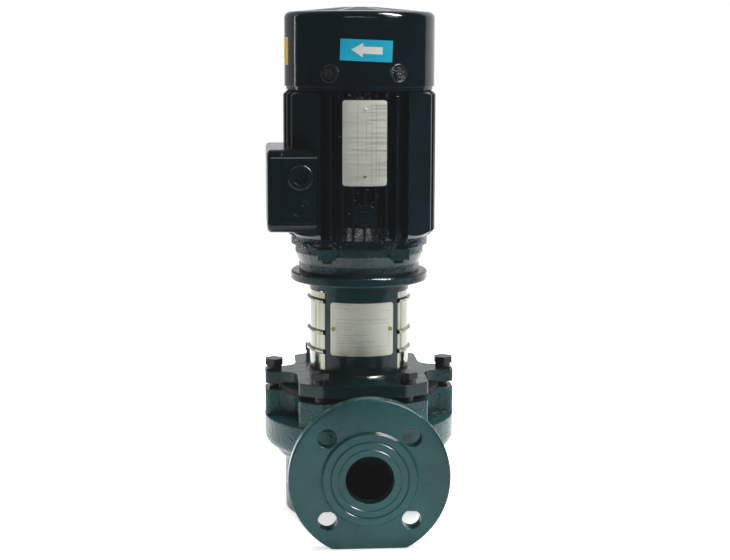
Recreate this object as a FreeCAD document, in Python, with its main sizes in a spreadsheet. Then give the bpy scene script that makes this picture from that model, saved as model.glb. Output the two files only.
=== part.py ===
import FreeCAD, Part
import math
import os

import Sketcher

# Vertical in-line circulation pump with its motor on top.
# The shaft stands on the Z axis, the flats under the flanges and the low sides of the foot
# rest on z = 0, and the inlet port faces -Y.

SIZES = {
    # Ports, one in front and one behind, on one centre line
    "port_height": 66.0,
    "face_to_axis": 150.0,
    "flange_radius": 75.0,
    "flange_thickness": 18.0,
    "flange_rounding": 2.0,
    "raised_face_radius": 44.0,
    "raised_face_height": 3.0,
    "raised_face_slope": 1.0,
    "groove_outer_radius": 36.0,
    "groove_inner_radius": 29.0,
    "groove_width": 2.0,
    "groove_depth": 0.9,
    "bore_radius": 22.5,
    "port_wall": 8.0,
    "port_bolt_circle": 110.0,
    "port_bolt_hole": 9.0,
    # Pump casing
    "casing_height": 121.5,
    "foot_radius": 73.4,
    "foot_rounding": 2.0,
    "foot_taper": 1.2,
    "foot_wall": 8.5,
    "arch_half_width": 66.0,
    "arch_rise": 14.0,
    "bowl_radius": 94.2,
    "bowl_low": 65.0,
    "bowl_rounding": 12.0,
    "ledge_height": 96.0,
    "volute_floor": 84.0,
    "floor_thickness": 12.0,
    "mouth_radius": 61.5,
    "chamber_radius": 76.0,
    "chamber_roof": 95.0,
    "volute_centre": 62.0,
    "volute_radius": 16.0,
    "volute_drop": 7.0,
    "volute_skin": 8.0,
    "volute_low": 73.0,
    "elbow_low": 32.0,
    "elbow_entry": 126.0,
    "elbow_dive": 74.0,
    "elbow_bend": 34.0,
    "duct_bend": 60.0,
    "duct_straight": 24.0,
    "wear_ring_outer": 31.0,
    "wear_ring_depth": 8.0,
    "wear_ring_proud": 0.5,
    # Scalloped outline that the casing lugs and the lantern plate share
    "plate_front": 84.0,
    "plate_front_half": 40.0,
    "plate_side": 62.5,
    "plate_corner": 69.0,
    "corner_rounding": 6.0,
    "ear_reach": 93.7,
    "ear_half_width": 14.5,
    "ear_rounding": 5.0,
    "scallop_radius": 17.0,
    "plate_thickness": 11.9,
    # Cover bolts
    "cover_bolt_circle": 84.7,
    "cover_bolt_radius": 5.0,
    "cover_bolt_across": 17.0,
    "cover_bolt_head": 6.0,
    "cover_washer_radius": 7.6,
    "cover_washer_height": 5.2,
    "tapped_depth": 20.0,
    "bolt_clearance": 0.5,
    "thread_gap": 0.05,
    # Seal cover between casing and lantern
    "cover_gap": 6.3,
    "cover_radius": 79.4,
    "cover_spigot_depth": 12.0,
    "register_radius": 44.6,
    "register_height": 4.0,
    "seal_chamber_radius": 24.0,
    "shaft_hole": 10.6,
    "o_ring_section": 1.7,
    "seat_gap": 0.02,
    # Shaft seal
    "seal_seat_outer": 17.0,
    "seal_seat_height": 8.0,
    "seal_seat_bore": 9.6,
    "seal_head_outer": 18.5,
    "seal_head_height": 8.0,
    "spring_wire": 1.1,
    "spring_radius": 13.5,
    "running_gap": 0.05,
    # Impeller and pump shaft
    "impeller_radius": 58.0,
    "shroud_thickness": 2.6,
    "vane_height": 8.0,
    "vane_thickness": 2.6,
    "vane_curve": 36.0,
    "impeller_base": 85.0,
    "eye_ring_radius": 27.0,
    "eye_radius": 23.5,
    "eye_ring_depth": 9.0,
    "hub_radius": 15.0,
    "shaft_radius": 8.0,
    "key_width": 5.0,
    "key_depth": 3.0,
    "key_length": 12.0,
    "impeller_nut_across": 18.0,
    "impeller_nut_height": 9.0,
    "impeller_washer": 1.8,
    "shaft_end": 3.0,
    # Lantern
    "lantern_height": 112.2,
    "lantern_radius": 49.5,
    "lantern_wall": 7.0,
    "arm_half_width": 35.0,
    "window_sill": 4.0,
    "neck_height": 8.0,
    "lantern_fillet": 1.5,
    "disc_radius": 67.2,
    "disc_thickness": 9.5,
    "disc_rounding": 1.8,
    "motor_spigot_radius": 40.0,
    "motor_spigot_height": 3.5,
    # Ribbed guards over the two windows
    "guard_radius": 48.9,
    "guard_thickness": 0.8,
    "guard_rib": 2.8,
    "guard_rib_width": 5.0,
    "guard_rib_low": 163.0,
    "guard_rib_middle": 182.0,
    "guard_rib_high": 213.0,
    "guard_margin": 1.0,
    # Coupling
    "coupling_radius": 27.0,
    "coupling_length": 68.0,
    "coupling_low": 162.0,
    "coupling_split": 1.2,
    "coupling_screw_side": 18.0,
    "coupling_screw_rise": 18.0,
    "coupling_screw_radius": 3.0,
    "coupling_head_radius": 5.0,
    "coupling_head_height": 6.0,
    "coupling_pin_radius": 2.5,
    "coupling_shaft_radius": 9.5,
    "shaft_end_gap": 3.0,
    # Pump nameplate
    "plate_sheet": 0.6,
    "pump_plate_angle": 75.0,
    "pump_plate_height": 52.0,
    "pump_plate_low": 161.0,
    "plate_rounding": 3.0,
    "rivet_radius": 1.2,
    "rivet_height": 1.0,
    "rivet_head": 2.0,
    "rivet_root": 3.0,
    # Motor shields
    "shield_height": 27.0,
    "shield_low_radius": 59.3,
    "shield_radius": 62.9,
    "shield_wall": 5.0,
    "shield_floor": 4.0,
    "shield_skirt": 9.0,
    "shield_swell": 19.0,
    "shield_slope": 12.0,
    "lug_root": 12.0,
    "lug_centre": 35.0,
    "lug_half_width": 8.75,
    "lug_reach": 61.5,
    "lug_height": 10.0,
    "lug_band": 4.5,
    "bearing_outer": 23.5,
    "bearing_inner": 10.0,
    "bearing_width": 14.0,
    "bearing_wall": 5.5,
    "motor_screw_circle": 49.0,
    "motor_screw_radius": 3.0,
    "motor_screw_head": 5.0,
    "tie_bolt_radius": 2.5,
    "tie_bolt_head": 4.6,
    "tie_bolt_inset": 7.5,
    # Motor frame
    "frame_height": 150.5,
    "frame_radius": 74.3,
    "frame_core": 64.0,
    "frame_bore": 60.0,
    "fin_start": 9.0,
    "fin_pitch": 10.45,
    "fin_thickness": 2.3,
    "fin_chamfer": 5.0,
    "panel_start": 42.5,
    "flare": 3.0,
    "flare_height": 12.0,
    "frame_ear": 5.0,
    "frame_ear_inner": 6.0,
    "boss_half_width": 9.25,
    "boss_low": 292.0,
    "boss_high": 310.5,
    "boss_proud": 0.4,
    "earth_screw_radius": 2.5,
    "earth_screw_head": 4.5,
    # Stator, rotor and motor shaft
    "core_low": 305.0,
    "core_length": 80.0,
    "core_inner": 33.0,
    "air_gap": 0.4,
    "end_ring": 7.0,
    "end_ring_step": 4.0,
    "slot_circle": 43.0,
    "slot_radius": 3.2,
    "winding_inner": 36.0,
    "winding_outer": 56.0,
    "winding_height": 17.0,
    "motor_shaft_radius": 12.5,
    "fan_shaft_radius": 7.5,
    # Bearings
    "ball_radius": 3.97,
    "ball_circle": 16.75,
    "ball_gap": 0.12,
    "race_land": 2.35,
    "cage_half": 0.8,
    "cage_rise": 3.0,
    "wave_washer": 1.2,
    "lip_seal": 2.5,
    # Fan end
    "fan_shield_radius": 71.4,
    "fan_shield_thickness": 6.0,
    "fan_bearing_high": 416.0,
    "fan_radius": 60.0,
    "fan_low": 441.0,
    "fan_height": 28.0,
    "fan_hub": 13.0,
    "fan_web": 2.2,
    "fan_web_low": 3.0,
    "fan_web_high": 8.0,
    "blade_thickness": 2.0,
    "clip_rise": 12.0,
    "clip_width": 1.0,
    # Fan cowl
    "cowl_gap": 3.0,
    "cowl_height": 75.5,
    "cowl_radius": 73.0,
    "cowl_sheet": 1.4,
    "cowl_shoulder": 6.0,
    "cowl_dome": 5.0,
    "cowl_screw_height": 434.0,
    "cowl_screw_radius": 2.5,
    "cowl_screw_head": 4.6,
    "cowl_boss": 8.0,
    "dimple_radius": 8.0,
    "dimple_depth": 1.6,
    "grille_inner": 17.0,
    "grille_slot": 5.0,
    "grille_web": 4.4,
    # Terminal box on the left
    "box_low": 283.0,
    "box_high": 362.0,
    "box_half_width": 60.0,
    "box_floor": 68.0,
    "box_joint": 76.4,
    "box_lid": 13.6,
    "box_wall": 3.6,
    "box_base": 3.0,
    "saddle_reach": 42.0,
    "box_rounding": 9.0,
    "box_gasket": 1.0,
    "gland_side": 60.0,
    "gland_high": 336.5,
    "gland_low": 307.6,
    "gland_radius": 12.5,
    "gland_shank": 9.5,
    "knockout_radius": 8.75,
    "knockout_width": 0.8,
    "knockout_depth": 0.6,
    "gland_proud": 4.5,
    "gland_rounding": 2.0,
    "gland_recess": 7.0,
    "gland_recess_depth": 2.5,
    "entry_panel": 0.8,
    "entry_panel_end": 44.5,
    "entry_panel_draft": 1.1,
    "lid_screw_inset": 8.0,
    "lid_screw_radius": 2.5,
    "lid_screw_head": 4.5,
    "lid_rounding": 4.0,
    "lid_well": 4.0,
    "post_radius": 5.5,
    "lead_hole": 10.0,
    "board_thickness": 8.0,
    "stud_radius": 2.0,
    # Motor nameplate
    "motor_plate_angle": 32.4,
    "motor_rivet_inset": 9.0,
    "motor_plate_low": 329.0,
    "motor_plate_high": 409.2,
}

# Counts and directions, angles in degrees from the right side round towards the back

STATOR_SLOTS = 18
BALL_COUNT = 8
VANE_COUNT = 6
FAN_BLADES = 8
FRONT_FINS = 4
SIDE_FINS = 3
GRILLE_RINGS = 5
GRILLE_SPOKES = 8
SPRING_TURNS = 2.5
DISH_SLOPE = 35
FRONT = 270
RIVET_TURN = 33.5
COWL_SCREW_TURN = 27
COWL_SCREWS = [middle + side * COWL_SCREW_TURN for middle in (90, 270) for side in (-1, 1)]

Z = FreeCAD.Vector(0, 0, 1)
HALF_ROOT = math.sqrt(0.5)
HEX_FLAT = math.cos(math.radians(30))

doc = FreeCAD.newDocument("CirculationPump")
sheet = doc.addObject("Spreadsheet::Sheet", "Sizes")
for row, (name, length) in enumerate(SIZES.items(), start=1):
    sheet.set("A%d" % row, name)
    sheet.set("B%d" % row, str(length))
    sheet.setAlias("B%d" % row, name)
doc.recompute()

parts = []


# Sizes that keep their expression

class Size:
    """A size with its value now and the sheet expression that it comes from."""

    def __init__(self, value, text):
        self.value = value
        self.text = text

    def __add__(self, other):
        return Size(self.value + number(other), "(%s + %s)" % (self.text, words(other)))

    def __radd__(self, other):
        return self + other

    def __sub__(self, other):
        return Size(self.value - number(other), "(%s - %s)" % (self.text, words(other)))

    def __rsub__(self, other):
        return -self + other

    def __mul__(self, other):
        return Size(self.value * number(other), "(%s * %s)" % (self.text, words(other)))

    def __rmul__(self, other):
        return self * other

    def __truediv__(self, other):
        return Size(self.value / number(other), "(%s / %s)" % (self.text, words(other)))

    def __neg__(self):
        return Size(-self.value, "(0 - %s)" % self.text)


def number(size):
    return size.value if isinstance(size, Size) else float(size)


def words(size):
    return size.text if isinstance(size, Size) else "(%r)" % float(size)


def leg(long_side, short_side):
    """The other leg of a right triangle, such as where a chord meets a circle."""
    value = math.sqrt(number(long_side) ** 2 - number(short_side) ** 2)
    return Size(value, "sqrt(%s ^ 2 - %s ^ 2)" % (words(long_side), words(short_side)))


def slant(one, other):
    """The long side of a right triangle with these two legs."""
    value = math.hypot(number(one), number(other))
    return Size(value, "sqrt(%s ^ 2 + %s ^ 2)" % (words(one), words(other)))


def angle_of(near, far):
    """The angle in degrees whose cosine is near / far."""
    value = math.degrees(math.acos(number(near) / number(far)))
    return Size(value, "acos(%s / %s)" % (words(near), words(far)))


class Sheet:
    """Reads the sheet's cells by name."""

    def __getattr__(self, name):
        return Size(SIZES[name], "Sizes." + name)


d = Sheet()


# Heights along the shaft

plate_low = d.casing_height + d.cover_gap
plate_top = plate_low + d.plate_thickness
lantern_top = plate_low + d.lantern_height
disc_low = lantern_top - d.disc_thickness
window_low = plate_top + d.window_sill
window_high = disc_low - d.neck_height
shield_top = lantern_top + d.shield_height
fin_low = shield_top + d.fin_start
frame_top = shield_top + d.frame_height
cowl_low = frame_top + d.cowl_gap
cowl_top = cowl_low + d.cowl_height
core_high = d.core_low + d.core_length
coupling_high = d.coupling_low + d.coupling_length
shaft_joint = d.coupling_low + d.coupling_length / 2
bearing_low = shield_top - d.bearing_width - 5
fan_bearing_low = d.fan_bearing_high - d.bearing_width
tie_reach = d.lug_reach - d.tie_bolt_inset
boss_middle = (d.boss_low + d.boss_high) / 2
cowl_screw_seat = d.cowl_radius - d.dimple_depth
entry_face = d.box_half_width + d.entry_panel
lead_height = d.box_low + 2 * d.lead_hole
pump_rivet_height = d.pump_plate_low + d.pump_plate_height / 2
impeller_top = d.impeller_base + 2 * d.shroud_thickness + d.vane_height
seat_low = plate_low - d.seal_seat_height
duct_offset = d.volute_low - d.port_height


# Sketch and feature helpers

def new_part(label):
    body = doc.addObject("PartDesign::Body", label)
    parts.append(body)
    return body


def place(body, z=0, x=0, y=0, turn=0):
    body.Placement = FreeCAD.Placement(FreeCAD.Vector(number(x), number(y), number(z)),
                                       FreeCAD.Rotation(Z, turn))
    for axis, size in (("x", x), ("y", y), ("z", z)):
        if isinstance(size, Size):
            body.setExpression("Placement.Base." + axis, size.text)


def origin(body, role):
    return next(f for f in body.Origin.OriginFeatures if f.Role == role)


def sketch_on(body, role="XY_Plane", lift=0, tilt=0):
    """A sketch on one of the part's own planes, lifted along its normal, then tilted about its Y."""
    made = body.newObject("Sketcher::SketchObject", "Sketch")
    made.AttachmentSupport = (origin(body, role), "")
    made.MapMode = "FlatFace"
    made.AttachmentOffset = FreeCAD.Placement(FreeCAD.Vector(0, 0, number(lift)),
                                              FreeCAD.Rotation(FreeCAD.Vector(0, 1, 0), tilt))
    if isinstance(lift, Size):
        made.setExpression("AttachmentOffset.Base.z", lift.text)
    return made


def facing(body, angle, reach):
    """An upright sketch that faces outwards at an angle about the Z axis, at a reach from it."""
    made = sketch_on(body, "XZ_Plane", 0, angle - FRONT)
    turn = math.radians(angle - FRONT)
    for axis, share in (("x", math.sin(turn)), ("z", math.cos(turn))):
        size = reach * share
        setattr(made.AttachmentOffset.Base, axis, number(size))
        if isinstance(size, Size):
            made.setExpression("AttachmentOffset.Base." + axis, size.text)
    return made


def dimension(kind, places, size):
    """A sketch constraint with the size that it is bound to."""
    return Sketcher.Constraint(kind, *places, number(size)), size


def pinned(geometry, point, x, y):
    return [dimension("DistanceX", (-1, 1, geometry, point), x),
            dimension("DistanceY", (-1, 1, geometry, point), y)]


def constrain(sketch, plain, sized):
    """Adds the constraints in one go and binds each size to its expression."""
    first = sketch.ConstraintCount
    sketch.addConstraint(plain + [constraint for constraint, size in sized])
    for index, (constraint, size) in enumerate(sized, start=first + len(plain)):
        if isinstance(size, Size):
            sketch.setExpression("Constraints[%d]" % index, size.text)


def circle(sketch, x, y, radius):
    middle = FreeCAD.Vector(number(x), number(y), 0)
    made = sketch.addGeometry(Part.Circle(middle, Z, number(radius)), False)
    constrain(sketch, [], pinned(made, 3, x, y) + [dimension("Radius", (made,), radius)])


def outline(sketch, corners, closed=True):
    """Straight sides through the corners, each (x, y) or (x, y, rounding)."""
    spots = [FreeCAD.Vector(number(c[0]), number(c[1]), 0) for c in corners]
    count = len(spots)
    starts = list(spots)
    ends = list(spots)
    middles = {}
    for i, corner in enumerate(corners):
        if len(corner) < 3:
            continue
        back = (spots[i - 1] - spots[i]).normalize()
        ahead = (spots[(i + 1) % count] - spots[i]).normalize()
        half = back.getAngle(ahead) / 2
        reach = number(corner[2]) / math.tan(half)
        ends[i] = spots[i] + back * reach
        starts[i] = spots[i] + ahead * reach
        middles[i] = spots[i] + (back + ahead).normalize() * (number(corner[2]) / math.sin(half))
    sides = [sketch.addGeometry(Part.LineSegment(starts[i], ends[(i + 1) % count]), False)
             for i in range(count if closed else count - 1)]
    plain, sized = [], []
    for i, corner in enumerate(corners):
        before = sides[i - 1] if closed or i > 0 else None
        after = sides[i] if closed or i < count - 1 else None
        if i in middles:
            first, last = ends[i] - middles[i], starts[i] - middles[i]
            turns_left = first.cross(last).z > 0
            low, high = (first, last) if turns_left else (last, first)
            arc = Part.ArcOfCircle(Part.Circle(middles[i], Z, number(corner[2])),
                                   math.atan2(low.y, low.x), math.atan2(high.y, high.x))
            made = sketch.addGeometry(arc, False)
            mark = sketch.addGeometry(Part.Point(spots[i]), True)
            enter, leave = (1, 2) if turns_left else (2, 1)
            plain += [Sketcher.Constraint("Tangent", before, 2, made, enter),
                      Sketcher.Constraint("Tangent", made, leave, after, 1),
                      Sketcher.Constraint("PointOnObject", mark, 1, before),
                      Sketcher.Constraint("PointOnObject", mark, 1, after)]
            sized += [dimension("Radius", (made,), corner[2])] + pinned(mark, 1, corner[0], corner[1])
        elif after is None:
            sized += pinned(before, 2, corner[0], corner[1])
        else:
            if before is not None:
                plain.append(Sketcher.Constraint("Coincident", before, 2, after, 1))
            sized += pinned(after, 1, corner[0], corner[1])
    constrain(sketch, plain, sized)


def box_outline(sketch, x_low, x_high, y_low, y_high, rounding=None):
    corners = [(x_low, y_low), (x_high, y_low), (x_high, y_high), (x_low, y_high)]
    if rounding is not None:
        corners = [corner + (rounding,) for corner in corners]
    outline(sketch, corners)


def hexagon(sketch, x, y, across):
    spread = across / math.sqrt(3)
    outline(sketch, [(x + spread * math.cos(math.radians(30 + 60 * k)),
                      y + spread * math.sin(math.radians(30 + 60 * k))) for k in range(6)])


def sector(sketch, x, y, inner, outer, middle, span):
    """Part of a ring about (x, y), its sides radial, its angles in degrees."""
    centre = FreeCAD.Vector(number(x), number(y), 0)
    sweep = [middle - span / 2, middle + span / 2]
    turns = [math.radians(number(a)) for a in sweep]
    arcs = [sketch.addGeometry(Part.ArcOfCircle(Part.Circle(centre, Z, number(radius)), *turns), False)
            for radius in (inner, outer)]
    plain = [Sketcher.Constraint("Coincident", arcs[0], 3, arcs[1], 3)]
    sized = pinned(arcs[0], 3, x, y)
    for point, turn, angle in zip((1, 2), turns, sweep):
        way = FreeCAD.Vector(math.cos(turn), math.sin(turn), 0)
        side = sketch.addGeometry(Part.LineSegment(centre + way * number(inner),
                                                   centre + way * number(outer)), False)
        plain += [Sketcher.Constraint("Coincident", side, 1, arcs[0], point),
                  Sketcher.Constraint("Coincident", side, 2, arcs[1], point),
                  Sketcher.Constraint("PointOnObject", arcs[0], 3, side)]
        bound = Size(turn, words(angle) + " * 1 deg") if isinstance(angle, Size) else turn
        sized.append(dimension("Angle", (side,), bound))
    sized += [dimension("Radius", (arcs[0],), inner), dimension("Radius", (arcs[1],), outer)]
    constrain(sketch, plain, sized)


def feature(body, kind, profile=None, **settings):
    made = body.newObject("PartDesign::" + kind, kind)
    if profile is not None:
        made.Profile = profile
    for prop, value in settings.items():
        if isinstance(value, Size):
            setattr(made, prop, value.value)
            made.setExpression(prop, value.text)
        else:
            setattr(made, prop, value)
    return made


def pad(body, profile, length, **settings):
    return feature(body, "Pad", profile, Length=length, **settings)


def pocket(body, profile, length, **settings):
    return feature(body, "Pocket", profile, Length=length, **settings)


def turned(body, corners, kind="Revolution", **settings):
    """A solid of revolution about the part's Z axis, its corners given as (radius, z)."""
    profile = sketch_on(body, "XZ_Plane")
    outline(profile, corners)
    return feature(body, kind, profile, ReferenceAxis=(profile, ["V_Axis"]), **settings)


def ring(body, inner, outer, low, high, **settings):
    return turned(body, [(inner, low), (outer, low), (outer, high), (inner, high)], **settings)


def around(body, originals, count, role="Z_Axis"):
    """Repeats features evenly about one of the part's axes."""
    made = feature(body, "PolarPattern", Originals=originals, Axis=(origin(body, role), [""]),
                   Angle=360, Occurrences=count)
    body.Tip = made
    return made


def rounded(body, base, wanted, radius, kind="Fillet"):
    """Rounds the edges of the last feature that the test picks out."""
    doc.recompute()
    names = ["Edge%d" % i for i, edge in enumerate(base.Shape.Edges, start=1) if wanted(edge)]
    if not names:
        raise RuntimeError("no edge to round on " + body.Label)
    made = feature(body, kind, Base=(base, names))
    size_name = "Radius" if kind == "Fillet" else "Size"
    setattr(made, size_name, number(radius))
    if isinstance(radius, Size):
        made.setExpression(size_name, radius.text)
    return made


def near(one, other, slack=0.01):
    return abs(number(one) - number(other)) < slack


def level_ring(radius, z):
    """Picks a full or part circle about the Z axis at a height."""
    def wanted(edge):
        curve = edge.Curve
        return (isinstance(curve, Part.Circle) and near(curve.Radius, radius)
                and near(curve.Center.z, z) and abs(curve.Axis.z) > 0.99)
    return wanted


# Casing: volute bowl on a round hollow foot, two flanged ports in line

def plate_outline(sketch):
    """Cut circle with a bolt ear on each side, shared by the casing lugs and the lantern."""
    quarter = [(d.plate_front_half, d.plate_front, d.corner_rounding),
               (d.plate_side, d.plate_corner, d.corner_rounding),
               (d.plate_side, d.ear_half_width, d.scallop_radius),
               (d.ear_reach, d.ear_half_width, d.ear_rounding)]
    right = quarter + [(x, -y, r) for x, y, r in reversed(quarter)]
    left = [(-x, y, r) for x, y, r in reversed(right)]
    outline(sketch, right + left)


def inlet_path(sketch):
    """Centre line of the inlet: straight in, down under the impeller and up into its eye."""
    outline(sketch, [(-d.face_to_axis, d.port_height),
                     (-d.elbow_entry, d.port_height, d.elbow_bend),
                     (-d.elbow_dive, d.elbow_low, d.elbow_bend),
                     (0, d.elbow_low, d.elbow_bend),
                     (0, d.volute_floor)], closed=False)


def outlet_path(sketch):
    """Centre line of the outlet: an S from the rear port to the end of the volute."""
    aside = slant(d.volute_centre, duct_offset)
    outline(sketch, [(0, d.face_to_axis), (0, d.face_to_axis - d.duct_straight, d.duct_bend),
                     (-aside, d.duct_straight, d.duct_bend), (-aside, 0)], closed=False)


def port_circle(body, lift, radius):
    profile = sketch_on(body, "XZ_Plane", lift)
    circle(profile, 0, d.port_height, radius)
    return profile


def port_pipes(body, kind, skin):
    """Sweeps a round section along both port paths; the outlet widens towards its port."""
    inset = d.face_to_axis - d.raised_face_height
    inlet = sketch_on(body, "YZ_Plane")
    inlet_path(inlet)
    feature(body, kind, port_circle(body, inset, d.bore_radius + skin), Spine=(inlet, []))
    outlet = sketch_on(body, "XY_Plane", d.port_height, duct_tilt)
    outlet_path(outlet)
    volute_end = sketch_on(body, "XZ_Plane")
    circle(volute_end, -d.volute_centre, d.volute_low, d.volute_radius + skin)
    feature(body, kind, port_circle(body, -inset, d.bore_radius + skin), Spine=(outlet, []),
            Sections=[(volute_end, [""])], Transformation="Multisection")


def volute_sweep(body, kind, radius):
    """Half a turn of the volute, which sinks from the right side round the front to the left."""
    profile = sketch_on(body, "XZ_Plane")
    circle(profile, d.volute_centre, d.volute_low + d.volute_drop, radius)
    return feature(body, kind, profile, ReferenceAxis=(profile, ["V_Axis"]), Mode=1,
                   Pitch=2 * d.volute_drop, Turns=0.5, Reversed=True)


def flange_section(sketch):
    """Half section of the front flange with two sealing grooves in its raised face."""
    face, axis = -d.face_to_axis, d.port_height
    groove_floor = face + d.groove_depth
    shoulder = face + d.raised_face_height
    half = d.groove_width / 2
    corners = [(face, axis + d.bore_radius + 1), (face, axis + d.groove_inner_radius - half),
               (groove_floor, axis + d.groove_inner_radius), (face, axis + d.groove_inner_radius + half),
               (face, axis + d.groove_outer_radius - half), (groove_floor, axis + d.groove_outer_radius),
               (face, axis + d.groove_outer_radius + half),
               (face, axis + d.raised_face_radius - d.raised_face_slope),
               (shoulder, axis + d.raised_face_radius + d.raised_face_slope),
               (shoulder, axis + d.flange_radius, d.flange_rounding),
               (face + d.flange_thickness, axis + d.flange_radius, d.flange_rounding),
               (face + d.flange_thickness, axis + d.bore_radius), (face + 1, axis + d.bore_radius)]
    outline(sketch, corners)
    axis_line = sketch.addGeometry(Part.LineSegment(FreeCAD.Vector(-number(d.face_to_axis), number(axis), 0),
                                                    FreeCAD.Vector(0, number(axis), 0)), True)
    constrain(sketch, [], pinned(axis_line, 1, face, axis) + pinned(axis_line, 2, 0, axis))


def casing():
    body = new_part("casing")
    foot_inner = d.foot_radius - d.foot_wall
    ceiling = d.volute_floor - d.floor_thickness
    turned(body, [(foot_inner, 0), (d.foot_radius, 0, d.foot_rounding),
                  (d.foot_radius + d.foot_taper, d.bowl_low),
                  (d.bowl_radius, d.bowl_low, d.bowl_rounding),
                  (d.bowl_radius, d.ledge_height), (0, d.ledge_height),
                  (0, ceiling), (foot_inner, ceiling)])
    arch_radius = (d.arch_half_width * d.arch_half_width + d.arch_rise * d.arch_rise) / (2 * d.arch_rise)
    arch = sketch_on(body, "XZ_Plane")
    circle(arch, 0, d.arch_rise - arch_radius, arch_radius)
    pocket(body, arch, 3 * d.foot_radius, Midplane=True)
    volute_sweep(body, "AdditiveHelix", d.volute_radius + d.volute_skin)
    port_pipes(body, "AdditivePipe", d.port_wall)
    above = sketch_on(body, lift=d.ledge_height)
    wide = d.face_to_axis + 10
    box_outline(above, -wide, wide, -wide, wide)
    pocket(body, above, d.flange_radius, Reversed=True)
    lugs = sketch_on(body, lift=d.ledge_height)
    plate_outline(lugs)
    pad(body, lugs, d.casing_height - d.ledge_height)
    profile = sketch_on(body, "YZ_Plane")
    flange_section(profile)
    flange = feature(body, "Revolution", profile, ReferenceAxis=(profile, ["Axis0"]))
    doc.recompute()
    holes = sketch_on(body, "XZ_Plane", d.face_to_axis)
    reach = d.port_bolt_circle / 2 * HALF_ROOT
    for side in (-1, 1):
        for rise in (-1, 1):
            circle(holes, side * reach, d.port_height + rise * reach, d.port_bolt_hole)
    drilled = pocket(body, holes, d.flange_thickness + 1)
    both = feature(body, "Mirrored", Originals=[flange, drilled],
                   MirrorPlane=(origin(body, "XZ_Plane"), [""]))
    body.Tip = both
    floor = sketch_on(body)
    box_outline(floor, -wide, wide, -wide, wide)
    pocket(body, floor, d.flange_radius)
    turned(body, [(0, d.volute_floor), (d.chamber_radius, d.volute_floor),
                  (d.chamber_radius, d.chamber_roof), (d.mouth_radius, d.chamber_roof),
                  (d.mouth_radius, d.casing_height + 1), (0, d.casing_height + 1)], "Groove")
    volute_sweep(body, "SubtractiveHelix", d.volute_radius)
    port_pipes(body, "SubtractivePipe", 0)
    ring(body, 0, d.wear_ring_outer, d.volute_floor - d.wear_ring_depth, d.volute_floor + 1,
         kind="Groove")
    tapped = sketch_on(body, lift=d.casing_height)
    circle(tapped, d.cover_bolt_circle, 0, d.cover_bolt_radius)
    around(body, [pocket(body, tapped, d.tapped_depth)], 6)


def wear_ring():
    body = new_part("wear_ring")
    low = d.volute_floor - d.wear_ring_depth
    ring(body, d.eye_ring_radius + d.running_gap, d.wear_ring_outer - d.seat_gap,
         low, d.volute_floor + d.wear_ring_proud)


# Bolted joint between casing, seal cover and lantern

def hex_screws(label, spread, count, seat, height, across, shank, reach):
    """Hexagon-head screws about the Z axis: heads on the seat, shanks reaching down."""
    body = new_part(label)
    head = sketch_on(body, lift=seat)
    hexagon(head, spread, 0, across)
    heads = pad(body, head, height)
    stem = sketch_on(body, lift=seat)
    circle(stem, spread, 0, shank)
    shanks = pad(body, stem, reach, Reversed=True)
    around(body, [heads, shanks], count)


def cover_fasteners():
    seat = plate_top + d.cover_washer_height
    hex_screws("cover_bolts", d.cover_bolt_circle, 6, seat, d.cover_bolt_head, d.cover_bolt_across,
               d.cover_bolt_radius - d.thread_gap, seat - d.casing_height + d.tapped_depth - 3)
    body = new_part("cover_bolt_washers")
    profile = sketch_on(body, lift=plate_top)
    circle(profile, d.cover_bolt_circle, 0, d.cover_washer_radius)
    circle(profile, d.cover_bolt_circle, 0, d.cover_bolt_radius + d.bolt_clearance)
    around(body, [pad(body, profile, d.cover_washer_height)], 6)


def seal_cover():
    """Plate clamped between casing and lantern; the seal's fixed ring sits in its middle."""
    body = new_part("seal_cover")
    spigot = d.mouth_radius - d.seat_gap
    spigot_low = d.casing_height - d.cover_spigot_depth
    groove = spigot - 2 * d.o_ring_section
    ring_low = d.casing_height - d.cover_spigot_depth / 2 - d.o_ring_section
    ring_high = ring_low + 2 * d.o_ring_section
    seat_outer = d.seal_seat_outer + d.seat_gap
    turned(body, [(d.shaft_hole, plate_low), (d.shaft_hole, plate_low + d.register_height),
                  (d.register_radius - d.seat_gap, plate_low + d.register_height),
                  (d.register_radius - d.seat_gap, plate_low),
                  (d.cover_radius, plate_low), (d.cover_radius, d.casing_height),
                  (spigot, d.casing_height), (spigot, ring_high), (groove, ring_high),
                  (groove, ring_low), (spigot, ring_low), (spigot, spigot_low),
                  (d.seal_chamber_radius, spigot_low), (d.seal_chamber_radius, seat_low),
                  (seat_outer, seat_low), (seat_outer, plate_low)])
    o_ring = new_part("casing_o_ring")
    section = sketch_on(o_ring, "XZ_Plane")
    circle(section, groove + d.o_ring_section, (ring_low + ring_high) / 2, d.o_ring_section)
    feature(o_ring, "Revolution", section, ReferenceAxis=(section, ["V_Axis"]))


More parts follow.
